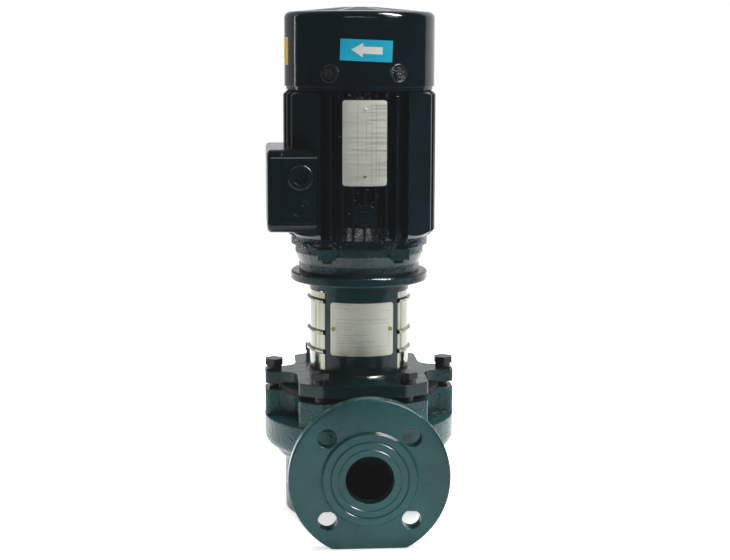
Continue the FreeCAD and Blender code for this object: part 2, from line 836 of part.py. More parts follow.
def lantern():
    """Bolted plate, two-armed tube and motor disc in one casting."""
    body = new_part("lantern")
    base = sketch_on(body, lift=plate_low)
    plate_outline(base)
    pad(body, base, d.plate_thickness)
    inner = d.lantern_radius - d.lantern_wall
    turned(body, [(inner, plate_low), (d.lantern_radius + d.lantern_fillet, plate_low),
                  (d.lantern_radius + d.lantern_fillet, plate_top),
                  (d.lantern_radius, plate_top + d.lantern_fillet),
                  (d.lantern_radius, disc_low - d.lantern_fillet),
                  (d.lantern_radius + d.lantern_fillet, disc_low),
                  (d.disc_radius, disc_low, d.disc_rounding),
                  (d.disc_radius, lantern_top, d.disc_rounding), (inner, lantern_top)])
    ring(body, 0, d.register_radius, plate_low - 1, plate_low + d.register_height, kind="Groove")
    ring(body, 0, inner, plate_low, disc_low, kind="Groove")
    windows = sketch_on(body, lift=window_low)
    for side in (-1, 1):
        near_edge, far_edge = side * d.arm_half_width, side * d.disc_radius
        box_outline(windows, near_edge, far_edge, -d.disc_radius, d.disc_radius)
    pocket(body, windows, window_high - window_low, Reversed=True)
    holes = sketch_on(body, lift=plate_top)
    circle(holes, d.cover_bolt_circle, 0, d.cover_bolt_radius + d.bolt_clearance)
    around(body, [pocket(body, holes, d.plate_thickness + 1)], 6)
    lip = sketch_on(body, lift=disc_low)
    circle(lip, 0, 0, inner + 0.5)
    circle(lip, 0, 0, d.motor_spigot_radius)
    pad(body, lip, d.disc_thickness)
    screws = sketch_on(body, lift=lantern_top)
    circle(screws, d.motor_screw_circle, 0, d.motor_screw_radius)
    around(body, [pocket(body, screws, d.disc_thickness - 1.5)], 4)
    for angle in pump_rivet_turns():
        hole = facing(body, angle, d.lantern_radius + 1)
        circle(hole, 0, pump_rivet_height, d.rivet_radius)
        pocket(body, hole, d.rivet_root + 1.2)


def guard(label, turn):
    """Ribbed stainless sheet that closes one window, its edges bent in behind the arms."""
    body = new_part(label)
    inner = d.guard_radius - d.guard_thickness
    low = window_low + d.guard_margin
    high = window_high - d.guard_margin
    outer_side = [(d.guard_radius, low)]
    inner_side = [(inner, low)]
    half = d.guard_rib_width / 2
    for level in (d.guard_rib_low, d.guard_rib_middle, d.guard_rib_high):
        for corners, radius, rise in ((outer_side, d.guard_radius, half),
                                      (inner_side, inner, half - d.guard_thickness / 2)):
            corners += [(radius, level - rise), (radius + d.guard_rib, level - rise / 3),
                        (radius + d.guard_rib, level + rise / 3), (radius, level + rise)]
    outer_side.append((d.guard_radius, high))
    inner_side.append((inner, high))
    turned(body, outer_side + inner_side[::-1], Angle=2 * angle_of(d.arm_half_width, inner), Midplane=True)
    place(body, turn=turn)


def pump_rivet_turns():
    return [FRONT - RIVET_TURN, FRONT + RIVET_TURN]


def curved_plate(label, radius, angle, low, height, rivets):
    """Thin plate bent round a cylinder, with rivets given as (angle, z)."""
    body = new_part(label)
    profile = sketch_on(body, lift=low)
    sector(profile, 0, 0, radius, radius + d.plate_sheet, FRONT, angle)
    sheet_pad = pad(body, profile, height)
    rounded(body, sheet_pad, lambda edge: edge.Length < number(d.plate_sheet) * 1.5
            and abs(edge.tangentAt(edge.FirstParameter).z) < 0.5, d.plate_rounding)
    for turn, z in rivets:
        hole = facing(body, turn, radius + 2)
        circle(hole, 0, z, d.rivet_radius)
        pocket(body, hole, 4)
    pins = new_part(label + "_rivets")
    for turn, z in rivets:
        stem = facing(pins, turn, radius - d.rivet_root)
        circle(stem, 0, z, d.rivet_radius - d.seat_gap)
        pad(pins, stem, d.rivet_root + d.plate_sheet)
        head = facing(pins, turn, radius + d.plate_sheet)
        circle(head, 0, z, d.rivet_head)
        pad(pins, head, d.rivet_height)


def pump_nameplate():
    curved_plate("pump_nameplate", d.lantern_radius, d.pump_plate_angle, d.pump_plate_low,
                 d.pump_plate_height, [(turn, pump_rivet_height) for turn in pump_rivet_turns()])


# Shaft seal

def shaft_seal():
    seat = new_part("seal_seat")
    ring(seat, d.seal_seat_bore, d.seal_seat_outer, seat_low, plate_low - d.seat_gap)
    head = new_part("seal_head")
    head_high = seat_low - d.running_gap
    ring(head, d.shaft_radius, d.seal_head_outer, head_high - d.seal_head_height, head_high)
    spring = new_part("seal_spring")
    profile = sketch_on(spring, "XZ_Plane")
    wire_low = impeller_top + 2.0 * d.spring_wire
    circle(profile, d.spring_radius, wire_low, d.spring_wire)
    feature(spring, "AdditiveHelix", profile, ReferenceAxis=(profile, ["V_Axis"]), Mode=2,
            Height=head_high - d.seal_head_height - wire_low - d.spring_wire, Turns=SPRING_TURNS)


# Impeller and pump shaft

def shaft_key(label, low, length, radius):
    body = new_part(label)
    profile = sketch_on(body, lift=low)
    box_outline(profile, radius - d.key_depth, radius + d.key_depth * 0.7,
                -d.key_width / 2, d.key_width / 2)
    pad(body, profile, length)


def key_slot(body, low, length, radius, wide=0):
    """Cuts the slot for a key from a shaft or a hub."""
    profile = sketch_on(body, lift=low)
    box_outline(profile, radius - d.key_depth - wide, radius + d.key_depth * 0.7 + wide,
                -d.key_width / 2 - wide, d.key_width / 2 + wide)
    return pocket(body, profile, length, Reversed=True)


def impeller():
    """Closed impeller: back shroud with hub, backward-curved vanes, front shroud with eye ring."""
    body = new_part("impeller")
    low = d.impeller_base
    vane_low = low + d.shroud_thickness
    back_low = vane_low + d.vane_height
    turned(body, [(d.shaft_radius, low), (d.hub_radius - 3, low), (d.hub_radius, back_low),
                  (d.impeller_radius, back_low), (d.impeller_radius, impeller_top),
                  (d.hub_radius, impeller_top), (d.shaft_radius, impeller_top)])
    vane = sketch_on(body, lift=vane_low - 0.5)
    middle = d.impeller_radius / 2 + 2
    aside = leg(d.vane_curve, d.impeller_radius / 2 - 6)
    sector(vane, middle, -aside, d.vane_curve - d.vane_thickness / 2, d.vane_curve + d.vane_thickness / 2,
           79, 62)
    vanes = pad(body, vane, d.vane_height + 1)
    around(body, [vanes], VANE_COUNT)
    eye_low = low - d.eye_ring_depth
    turned(body, [(d.eye_radius, eye_low), (d.eye_ring_radius, eye_low), (d.eye_ring_radius, low),
                  (d.impeller_radius, low), (d.impeller_radius, vane_low), (d.eye_radius, vane_low)])
    key_slot(body, low - 1, d.vane_height + 3 * d.shroud_thickness, d.shaft_radius)


def impeller_fasteners():
    washer = new_part("impeller_washer")
    high = d.impeller_base
    ring(washer, d.shaft_radius - 2 + 0.1, d.hub_radius - 4, high - d.impeller_washer, high)
    nut = new_part("impeller_nut")
    profile = sketch_on(nut, lift=high - d.impeller_washer)
    hexagon(profile, 0, 0, d.impeller_nut_across)
    circle(profile, 0, 0, d.shaft_radius - 2 + d.thread_gap)
    pad(nut, profile, d.impeller_nut_height, Reversed=True)
    shaft_key("impeller_key", d.impeller_base + 1, d.key_length, d.shaft_radius)


def pump_shaft():
    body = new_part("pump_shaft")
    thread_low = d.impeller_base - d.impeller_washer - d.impeller_nut_height - d.shaft_end
    turned(body, [(0, thread_low), (d.shaft_radius - 2, thread_low), (d.shaft_radius - 2, d.impeller_base),
                  (d.shaft_radius, d.impeller_base), (d.shaft_radius, plate_low),
                  (d.coupling_shaft_radius, plate_low + d.register_height),
                  (d.coupling_shaft_radius, shaft_joint - d.shaft_end_gap / 2),
                  (0, shaft_joint - d.shaft_end_gap / 2)])
    key_slot(body, d.impeller_base + 1, d.key_length, d.shaft_radius)
    bore = sketch_on(body, "XZ_Plane")
    circle(bore, 0, d.coupling_low + d.coupling_screw_rise / 2, d.coupling_pin_radius)
    pocket(body, bore, 4 * d.coupling_shaft_radius, Midplane=True)


# Split coupling that clamps the two shaft ends together

def coupling_half(label, turn):
    body = new_part(label)
    profile = sketch_on(body, lift=d.coupling_low)
    bore = d.coupling_shaft_radius
    sector(profile, 0, 0, bore, d.coupling_radius, 270, 180)
    pad(body, profile, d.coupling_length)
    face = sketch_on(body, "XZ_Plane")
    box_outline(face, -d.coupling_radius - 1, d.coupling_radius + 1, d.coupling_low - 1, coupling_high + 1)
    pocket(body, face, d.coupling_split, Midplane=True)
    for side in (-1, 1):
        for level in (d.coupling_low + d.coupling_screw_rise, coupling_high - d.coupling_screw_rise):
            hole = sketch_on(body, "XZ_Plane")
            circle(hole, side * d.coupling_screw_side, level, d.coupling_screw_radius + d.thread_gap)
            pocket(body, hole, 2 * d.coupling_radius, Midplane=True)
            seat = sketch_on(body, "XZ_Plane", d.coupling_radius / 2)
            circle(seat, side * d.coupling_screw_side, level, d.coupling_head_radius + d.thread_gap)
            pocket(body, seat, d.coupling_radius, Reversed=True)
    hole = sketch_on(body, "XZ_Plane")
    circle(hole, 0, d.coupling_low + d.coupling_screw_rise / 2, d.coupling_pin_radius)
    pocket(body, hole, d.coupling_shaft_radius + 4, Midplane=False, Reversed=True)
    place(body, turn=turn)


def coupling():
    coupling_half("coupling_front_half", 0)
    coupling_half("coupling_rear_half", 180)
    body = new_part("coupling_screws")
    for side in (-1, 1):
        for level in (d.coupling_low + d.coupling_screw_rise, coupling_high - d.coupling_screw_rise):
            stem = sketch_on(body, "XZ_Plane", d.coupling_radius / 2)
            circle(stem, side * d.coupling_screw_side, level, d.coupling_screw_radius)
            pad(body, stem, d.coupling_radius, Reversed=True)
            head = sketch_on(body, "XZ_Plane", d.coupling_radius / 2)
            circle(head, side * d.coupling_screw_side, level, d.coupling_head_radius)
            pad(body, head, d.coupling_head_height)
    cross_pin = new_part("coupling_pin")
    stem = sketch_on(cross_pin, "XZ_Plane")
    circle(stem, 0, d.coupling_low + d.coupling_screw_rise / 2, d.coupling_pin_radius - d.seat_gap)
    pad(cross_pin, stem, 2 * (d.coupling_shaft_radius + 3.5), Midplane=True)


# Drive-end shield of the motor and its fasteners

def drive_end_shield():
    body = new_part("drive_end_shield")
    low_bearing = bearing_low
    seat = d.bearing_outer + d.seat_gap
    hub = d.bearing_outer + d.bearing_wall
    outer = d.shield_radius
    wall = outer - d.shield_wall
    floor = lantern_top + d.shield_floor
    turned(body, [(d.bearing_inner + d.lip_seal, lantern_top - d.motor_spigot_height),
                  (d.motor_spigot_radius - d.seat_gap, lantern_top - d.motor_spigot_height),
                  (d.motor_spigot_radius - d.seat_gap, lantern_top), (d.shield_low_radius, lantern_top),
                  (d.shield_low_radius, lantern_top + d.shield_skirt),
                  (outer, lantern_top + d.shield_swell), (outer, shield_top),
                  (wall, shield_top), (wall, floor + d.shield_slope),
                  (d.shield_low_radius - d.shield_wall, floor), (hub, floor),
                  (hub, low_bearing + d.bearing_width), (seat, low_bearing + d.bearing_width),
                  (seat, low_bearing), (d.bearing_inner + d.lip_seal, low_bearing)])
    lugs = sketch_on(body, lift=shield_top)
    for side in (-1, 1):
        for end in (-1, 1):
            x_low = side * (d.lug_centre - d.lug_half_width)
            x_high = side * (d.lug_centre + d.lug_half_width)
            box_outline(lugs, x_low, x_high, end * (wall - d.lug_root), end * d.lug_reach)
    pad(body, lugs, d.lug_height, Reversed=True)
    band = sketch_on(body, lift=shield_top)
    for end in (-1, 1):
        box_outline(band, -d.lug_centre, d.lug_centre, end * (wall - d.lug_root), end * (d.lug_reach - 2))
    pad(body, band, d.lug_band, Reversed=True)
    well = sketch_on(body, lift=shield_top)
    circle(well, 0, 0, wall)
    circle(well, 0, 0, hub)
    pocket(body, well, d.lug_height)
    holes = sketch_on(body, lift=shield_top)
    for side in (-1, 1):
        for end in (-1, 1):
            circle(holes, side * d.lug_centre, end * tie_reach, d.tie_bolt_radius + d.bolt_clearance)
    pocket(body, holes, d.lug_height + 1)
    seats = sketch_on(body, lift=shield_top - d.lug_height)
    for side in (-1, 1):
        for end in (-1, 1):
            circle(seats, side * d.lug_centre, end * tie_reach, d.tie_bolt_head + 1)
    pocket(body, seats, d.tie_bolt_head)
    screws = sketch_on(body, lift=floor)
    circle(screws, d.motor_screw_circle, 0, d.motor_screw_radius + d.bolt_clearance)
    around(body, [pocket(body, screws, d.shield_floor + 1)], 4)


def shield_fasteners():
    hex_screws("motor_flange_screws", d.motor_screw_circle, 4, lantern_top + d.shield_floor,
               d.motor_screw_head * 0.8, 2 * d.motor_screw_head * HEX_FLAT,
               d.motor_screw_radius - d.thread_gap, d.shield_floor + d.disc_thickness - 2.5)
    body = new_part("tie_bolts")
    seat = shield_top - d.lug_height
    heads = sketch_on(body, lift=seat)
    stems = sketch_on(body, lift=seat)
    for side in (-1, 1):
        for end in (-1, 1):
            hexagon(heads, side * d.lug_centre, end * tie_reach, 2 * d.tie_bolt_head * HEX_FLAT)
            circle(stems, side * d.lug_centre, end * tie_reach, d.tie_bolt_radius - d.thread_gap)
    pad(body, heads, d.tie_bolt_head * 0.8, Reversed=True)
    pad(body, stems, d.lug_height + d.fin_start - 1)


# Finned motor frame

def motor_frame():
    """Parallel fins front and back, fins across the sides, flat smooth panels at the four corners."""
    body = new_part("motor_frame")
    envelope = sketch_on(body, lift=fin_low)
    circle(envelope, 0, 0, d.frame_radius)
    full = pad(body, envelope, frame_top - fin_low)
    rims = [level_ring(d.frame_radius, z) for z in (fin_low, frame_top)]
    rounded(body, full, lambda edge: any(rim(edge) for rim in rims), d.fin_chamfer, kind="Chamfer")
    gap = d.fin_pitch - d.fin_thickness
    beyond = d.frame_radius + 5
    panel_rear = d.fin_pitch * SIDE_FINS + d.fin_thickness / 2
    panels = sketch_on(body, lift=fin_low)
    for side in (-1, 1):
        for end in (-1, 1):
            outline(panels, [(side * d.panel_start, end * leg(d.frame_radius, d.panel_start)),
                             (side * leg(d.frame_radius, panel_rear), end * panel_rear),
                             (side * beyond, end * beyond)])
    pocket(body, panels, d.frame_height, Reversed=True)
    slots = sketch_on(body, lift=fin_low)
    for k in range(-FRONT_FINS, FRONT_FINS - 1):
        low = d.fin_pitch * k + d.fin_thickness / 2
        box_outline(slots, low, low + gap, -beyond, beyond)
    last_fin = d.fin_pitch * (FRONT_FINS - 1) + d.fin_thickness / 2
    box_outline(slots, last_fin, d.panel_start, -beyond, beyond)
    pocket(body, slots, d.frame_height, Reversed=True)
    side_slots = sketch_on(body, lift=fin_low)
    for k in range(-SIDE_FINS, SIDE_FINS):
        low = d.fin_pitch * k + d.fin_thickness / 2
        box_outline(side_slots, -beyond, beyond, low, low + gap)
    pocket(body, side_slots, d.frame_height, Reversed=True)
    core = sketch_on(body, lift=shield_top)
    circle(core, 0, 0, d.frame_core)
    pad(body, core, d.frame_height)
    flare_radius = d.frame_core + d.flare
    turned(body, [(d.frame_bore, shield_top), (flare_radius, shield_top), (flare_radius, fin_low),
                  (d.frame_core, fin_low + d.flare_height), (d.frame_bore, fin_low + d.flare_height)])
    bore = sketch_on(body, lift=shield_top)
    circle(bore, 0, 0, d.frame_bore)
    pocket(body, bore, d.frame_height + 1, Reversed=True)
    ears = sketch_on(body, lift=shield_top)
    for side in (-1, 1):
        for end in (-1, 1):
            box_outline(ears, side * (d.lug_centre - d.frame_ear), side * (d.lug_centre + d.frame_ear),
                        end * (tie_reach - d.frame_ear_inner), end * (tie_reach + d.frame_ear))
    pad(body, ears, d.fin_start + 1)
    tapped = sketch_on(body, lift=shield_top)
    for side in (-1, 1):
        for end in (-1, 1):
            circle(tapped, side * d.lug_centre, end * tie_reach, d.tie_bolt_radius)
    pocket(body, tapped, d.fin_start, Reversed=True)
    seat = sketch_on(body, "YZ_Plane", -d.box_floor)
    box_outline(seat, -d.box_half_width / 2, d.box_half_width / 2, d.box_low + 8, d.box_high - 8)
    pad(body, seat, d.box_floor - d.frame_core + 3)
    clear = sketch_on(body, "YZ_Plane", -d.box_floor)
    box_outline(clear, -d.box_half_width, d.box_half_width, d.box_low - 1, d.box_high + 1)
    pocket(body, clear, d.frame_radius)
    lead_hole = sketch_on(body, "YZ_Plane", -d.box_floor)
    circle(lead_hole, 0, lead_height, d.lead_hole)
    pocket(body, lead_hole, d.box_floor - d.frame_bore + 2, Reversed=True)
    for y, z in box_screw_places():
        hole = sketch_on(body, "YZ_Plane", -d.box_floor)
        circle(hole, y, z, d.lid_screw_radius)
        pocket(body, hole, 6, Reversed=True)
    boss = sketch_on(body, "XZ_Plane", d.frame_core - 2)
    box_outline(boss, -d.boss_half_width, d.boss_half_width, d.boss_low, d.boss_high,
                d.boss_half_width * 0.45)
    pad(body, boss, d.frame_radius - d.frame_core + 2 + d.boss_proud)
    hole = sketch_on(body, "XZ_Plane", d.frame_radius + d.boss_proud)
    circle(hole, 0, boss_middle, d.earth_screw_radius)
    pocket(body, hole, 9)
    for z in motor_rivet_heights():
        stub = sketch_on(body, "XZ_Plane", d.frame_core - 2)
        circle(stub, 0, z, 2 * d.rivet_head)
        pad(body, stub, d.frame_radius - d.frame_core + 1.8)
        hole = sketch_on(body, "XZ_Plane", d.frame_radius + 1)
        circle(hole, 0, z, d.rivet_radius)
        pocket(body, hole, d.rivet_root + 1.2)


# Stator, winding and rotor

def stator():
    core = new_part("stator_core")
    ring(core, d.core_inner, d.frame_bore - d.seat_gap, d.core_low, core_high)
    slot = sketch_on(core, lift=d.core_low)
    circle(slot, d.slot_circle, 0, d.slot_radius + d.seat_gap)
    around(core, [pocket(core, slot, d.core_length, Reversed=True)], STATOR_SLOTS)
    winding = new_part("stator_winding")
    for low in (d.core_low - d.winding_height, core_high + 1):
        turned(winding, [(d.winding_inner, low, 3), (d.winding_outer, low, 3),
                         (d.winding_outer, low + d.winding_height - 1, 3),
                         (d.winding_inner, low + d.winding_height - 1, 3)])
    bar = sketch_on(winding, lift=d.core_low - 2)
    circle(bar, d.slot_circle, 0, d.slot_radius)
    around(winding, [pad(winding, bar, d.core_length + 4)], STATOR_SLOTS)


def rotor_core():
    body = new_part("rotor_core")
    outer = d.core_inner - d.air_gap
    end_outer = outer - d.end_ring_step
    turned(body, [(d.motor_shaft_radius, d.core_low - d.end_ring), (end_outer, d.core_low - d.end_ring),
                  (end_outer, d.core_low), (outer, d.core_low), (outer, core_high),
                  (end_outer, core_high), (end_outer, core_high + d.end_ring),
                  (d.motor_shaft_radius, core_high + d.end_ring)])


def motor_shaft():
    body = new_part("motor_shaft")
    low = shaft_joint + d.shaft_end_gap / 2
    shoulder_low = bearing_low + d.bearing_width
    turned(body, [(0, low), (d.coupling_shaft_radius, low), (d.coupling_shaft_radius, lantern_top + 1),
                  (d.bearing_inner, lantern_top + 1), (d.bearing_inner, shoulder_low),
                  (d.motor_shaft_radius, shoulder_low), (d.motor_shaft_radius, fan_bearing_low),
                  (d.bearing_inner, fan_bearing_low), (d.bearing_inner, d.fan_bearing_high + 3),
                  (d.fan_shaft_radius, d.fan_bearing_high + 3),
                  (d.fan_shaft_radius, d.fan_low + d.fan_height + 3), (0, d.fan_low + d.fan_height + 3)])
    groove = sketch_on(body, "XZ_Plane")
    clip_low = d.fan_low + d.clip_rise
    outline(groove, [(d.fan_shaft_radius - 0.8, clip_low), (d.fan_shaft_radius + 1, clip_low),
                     (d.fan_shaft_radius + 1, clip_low + d.clip_width),
                     (d.fan_shaft_radius - 0.8, clip_low + d.clip_width)])
    feature(body, "Groove", groove, ReferenceAxis=(groove, ["V_Axis"]))


# Ball bearings, each modelled from its own lower face

def race(label, inner, outer, z):
    body = new_part(label)
    ring(body, inner, outer, 0, d.bearing_width)
    track = sketch_on(body, "XZ_Plane")
    circle(track, d.ball_circle, d.bearing_width / 2, d.ball_radius + d.ball_gap)
    feature(body, "Groove", track, ReferenceAxis=(track, ["V_Axis"]))
    place(body, z)


def bearing(name, z):
    race(name + "_outer_ring", d.ball_circle + d.race_land, d.bearing_outer, z)
    race(name + "_inner_ring", d.bearing_inner + d.seat_gap, d.ball_circle - d.race_land, z)
    body = new_part(name + "_ball_cage")
    half = d.bearing_width / 2
    ring(body, d.ball_circle - d.cage_half, d.ball_circle + d.cage_half,
         half - d.cage_rise, half + d.cage_rise)
    doc.recompute()
    ball = sketch_on(body, "XZ_Plane")
    centre = (d.ball_circle, half)
    outline_half_disc(ball, centre[0], centre[1], d.ball_radius)
    balls = feature(body, "Revolution", ball, ReferenceAxis=(ball, ["Axis0"]))
    around(body, [balls], BALL_COUNT)
    place(body, z)


def outline_half_disc(sketch, x, y, radius):
    """Half disc with a construction axis along its straight side."""
    centre = FreeCAD.Vector(number(x), number(y), 0)
    arc = sketch.addGeometry(Part.ArcOfCircle(Part.Circle(centre, Z, number(radius)),
                                              -math.pi / 2, math.pi / 2), False)
    low, high = centre - FreeCAD.Vector(0, number(radius), 0), centre + FreeCAD.Vector(0, number(radius), 0)
    side = sketch.addGeometry(Part.LineSegment(high, low), False)
    axis = sketch.addGeometry(Part.LineSegment(low, high), True)
    constrain(sketch, [Sketcher.Constraint("Coincident", arc, 1, side, 2),
                       Sketcher.Constraint("Coincident", arc, 2, side, 1),
                       Sketcher.Constraint("Coincident", arc, 1, axis, 1),
                       Sketcher.Constraint("Coincident", arc, 2, axis, 2),
                       Sketcher.Constraint("PointOnObject", arc, 3, side),
                       Sketcher.Constraint("Vertical", side)],
              pinned(arc, 3, x, y) + [dimension("Radius", (arc,), radius)])


def bearings():
    bearing("drive_end_bearing", bearing_low)
    bearing("fan_end_bearing", fan_bearing_low)
    wave = new_part("wave_washer")
    ring(wave, d.bearing_outer - 4, d.bearing_outer - 0.3, 0, d.wave_washer)
    place(wave, bearing_low + d.bearing_width)
    lip = new_part("shaft_lip_seal")
    ring(lip, d.bearing_inner + d.running_gap, d.bearing_inner + d.lip_seal - d.seat_gap,
         lantern_top + 1.5, lantern_top + 5.5)


# Fan end: shield, fan and cowl

def fan_end_shield():
    body = new_part("fan_end_shield")
    bore = d.bearing_outer + d.seat_gap
    hub = d.bearing_outer + d.bearing_wall
    top = frame_top + d.fan_shield_thickness
    turned(body, [(hub, fan_bearing_low), (hub, frame_top), (d.frame_bore - 6, frame_top),
                  (d.frame_bore - 6, frame_top - 6), (d.frame_bore - d.seat_gap, frame_top - 6),
                  (d.frame_bore - d.seat_gap, frame_top), (d.fan_shield_radius, frame_top),
                  (d.fan_shield_radius, top, 1.5), (d.bearing_inner + 0.6, top),
                  (d.bearing_inner + 0.6, d.fan_bearing_high), (bore, d.fan_bearing_high),
                  (bore, fan_bearing_low)])
    for angle in COWL_SCREWS:
        boss = facing(body, angle, cowl_screw_seat - d.cowl_sheet - d.seat_gap - d.cowl_boss)
        half = d.cowl_screw_head + 1
        box_outline(boss, -half, half, frame_top + 1, d.cowl_screw_height + half)
        pad(body, boss, d.cowl_boss)
        hole = facing(body, angle, cowl_screw_seat)
        circle(hole, 0, d.cowl_screw_height, d.cowl_screw_radius)
        pocket(body, hole, d.cowl_sheet + d.cowl_boss - 1)


def cowl_points(sketch, skin):
    """Half section of the cowl's outside, moved inwards by skin."""
    radius = d.cowl_radius - skin
    top = cowl_top - skin
    outline(sketch, [(0, cowl_low - 1), (radius, cowl_low - 1), (radius, top - d.cowl_dome, d.cowl_shoulder),
                     (d.grille_inner, top), (0, top)])


def fan_cowl():
    """Pressed sheet cover with rings of slots in its top and a dished seat for each screw."""
    body = new_part("fan_cowl")
    for kind, skin in (("Revolution", 0), ("Groove", d.cowl_sheet)):
        profile = sketch_on(body, "XZ_Plane")
        cowl_points(profile, skin)
        feature(body, kind, profile, ReferenceAxis=(profile, ["V_Axis"]))
    below = sketch_on(body, lift=cowl_low)
    circle(below, 0, 0, d.cowl_radius + 5)
    pocket(body, below, 5)
    slots = []
    inner = d.grille_inner
    for k in range(GRILLE_RINGS):
        slot = sketch_on(body, lift=cowl_top + 1)
        radius = inner + k * (d.grille_slot + d.grille_web)
        web = 7.0 * number(d.grille_inner) / number(radius) + 4
        sector(slot, 0, 0, radius, radius + d.grille_slot, 0, 360 / GRILLE_SPOKES - web)
        slots.append(pocket(body, slot, d.cowl_dome + d.cowl_sheet + 3))
    around(body, slots, GRILLE_SPOKES)
    for angle in COWL_SCREWS:
        cup = facing(body, angle, cowl_screw_seat - d.cowl_sheet)
        circle(cup, 0, d.cowl_screw_height, d.dimple_radius + d.cowl_sheet)
        pad(body, cup, d.cowl_sheet + d.dimple_depth / 3)
        dish = facing(body, angle, d.cowl_radius)
        circle(dish, 0, d.cowl_screw_height, d.dimple_radius)
        pocket(body, dish, d.dimple_depth, TaperAngle=-DISH_SLOPE)
        hole = facing(body, angle, d.cowl_radius + 1)
        circle(hole, 0, d.cowl_screw_height, d.cowl_screw_radius + d.bolt_clearance)
        pocket(body, hole, d.cowl_sheet + 4)


def cowl_screws():
    body = new_part("cowl_screws")
    for angle in COWL_SCREWS:
        stem = facing(body, angle, cowl_screw_seat)
        circle(stem, 0, d.cowl_screw_height, d.cowl_screw_radius - d.thread_gap)
        pad(body, stem, d.cowl_sheet + d.cowl_boss - 2, Reversed=True)
        head = facing(body, angle, cowl_screw_seat)
        circle(head, 0, d.cowl_screw_height, d.cowl_screw_head)
        pad(body, head, d.cowl_screw_head / 2)


def fan():
    body = new_part("fan")
    turned(body, [(d.fan_shaft_radius + d.seat_gap, d.fan_low), (d.fan_hub, d.fan_low),
                  (d.fan_hub, d.fan_low + d.fan_web_high), (d.fan_radius, d.fan_low + d.fan_web_low),
                  (d.fan_radius, d.fan_low + d.fan_web_low + d.fan_web),
                  (d.fan_hub, d.fan_low + d.fan_web_high + d.fan_web),
                  (d.fan_hub, d.fan_low + d.clip_rise),
                  (d.fan_shaft_radius + d.seat_gap, d.fan_low + d.clip_rise)])
    blade = sketch_on(body, lift=d.fan_low + d.fan_web_low + 1)
    box_outline(blade, d.fan_hub - 1, d.fan_radius, -d.blade_thickness / 2, d.blade_thickness / 2)
    around(body, [pad(body, blade, d.fan_height - d.fan_web_low - 1)], FAN_BLADES)
    clip = new_part("fan_circlip")
    ring(clip, d.fan_shaft_radius - 0.8, d.fan_shaft_radius + 2.2, d.fan_low + d.clip_rise,
         d.fan_low + d.clip_rise + d.clip_width)


# Terminal box on the left side

def box_section(sketch, grow=0.0):
    half = d.box_half_width + grow
    box_outline(sketch, -half, half, d.box_low - grow, d.box_high + grow, d.box_rounding + grow)


def terminal_box():
    body = new_part("terminal_box")
    block = sketch_on(body, "YZ_Plane", -d.box_joint)
    box_section(block)
    pad(body, block, d.box_joint - d.saddle_reach)
    saddle = sketch_on(body, lift=d.box_low - 1)
    circle(saddle, 0, 0, d.frame_radius + d.seat_gap)
    pocket(body, saddle, d.box_high - d.box_low + 2, Reversed=True)
    floor = sketch_on(body, "YZ_Plane", -d.box_floor)
    box_section(floor)
    pad(body, floor, d.box_base, Reversed=True)
    inside = sketch_on(body, "YZ_Plane", -d.box_floor - d.box_base)
    box_section(inside, -d.box_wall)
    pocket(body, inside, 20)
    lead_hole = sketch_on(body, "YZ_Plane", -d.box_floor + 1)
    circle(lead_hole, 0, lead_height, d.lead_hole)
    pocket(body, lead_hole, 10)
    for y, z in box_screw_places():
        hole = sketch_on(body, "YZ_Plane", -d.box_floor + 1)
        circle(hole, y, z, d.lid_screw_radius + d.bolt_clearance)
        pocket(body, hole, 6)
    for y, z in lid_corners():
        post = sketch_on(body, "YZ_Plane", -d.box_joint)
        circle(post, y, z, d.post_radius)
        pad(body, post, d.box_joint - d.box_floor - 1)
        hole = sketch_on(body, "YZ_Plane", -d.box_joint)
        circle(hole, y, z, d.lid_screw_radius)
        pocket(body, hole, 7, Reversed=True)
    panel = sketch_on(body, "XZ_Plane", d.box_half_width)
    low, high = d.box_low + d.box_rounding, d.box_high - d.box_rounding
    outline(panel, [(-d.box_joint, low + d.entry_panel_draft), (-d.entry_panel_end, low),
                    (-d.entry_panel_end, high), (-d.box_joint, high - d.entry_panel_draft)])
    pad(body, panel, d.entry_panel)
    gland = sketch_on(body, "XZ_Plane", d.box_half_width - 10)
    circle(gland, -d.gland_side, d.gland_high, d.gland_shank)
    pocket(body, gland, 20, Reversed=True)
    rim = sketch_on(body, "XZ_Plane", entry_face)
    circle(rim, -d.gland_side, d.gland_low, d.knockout_radius)
    circle(rim, -d.gland_side, d.gland_low, d.knockout_radius - d.knockout_width)
    pocket(body, rim, d.knockout_depth)


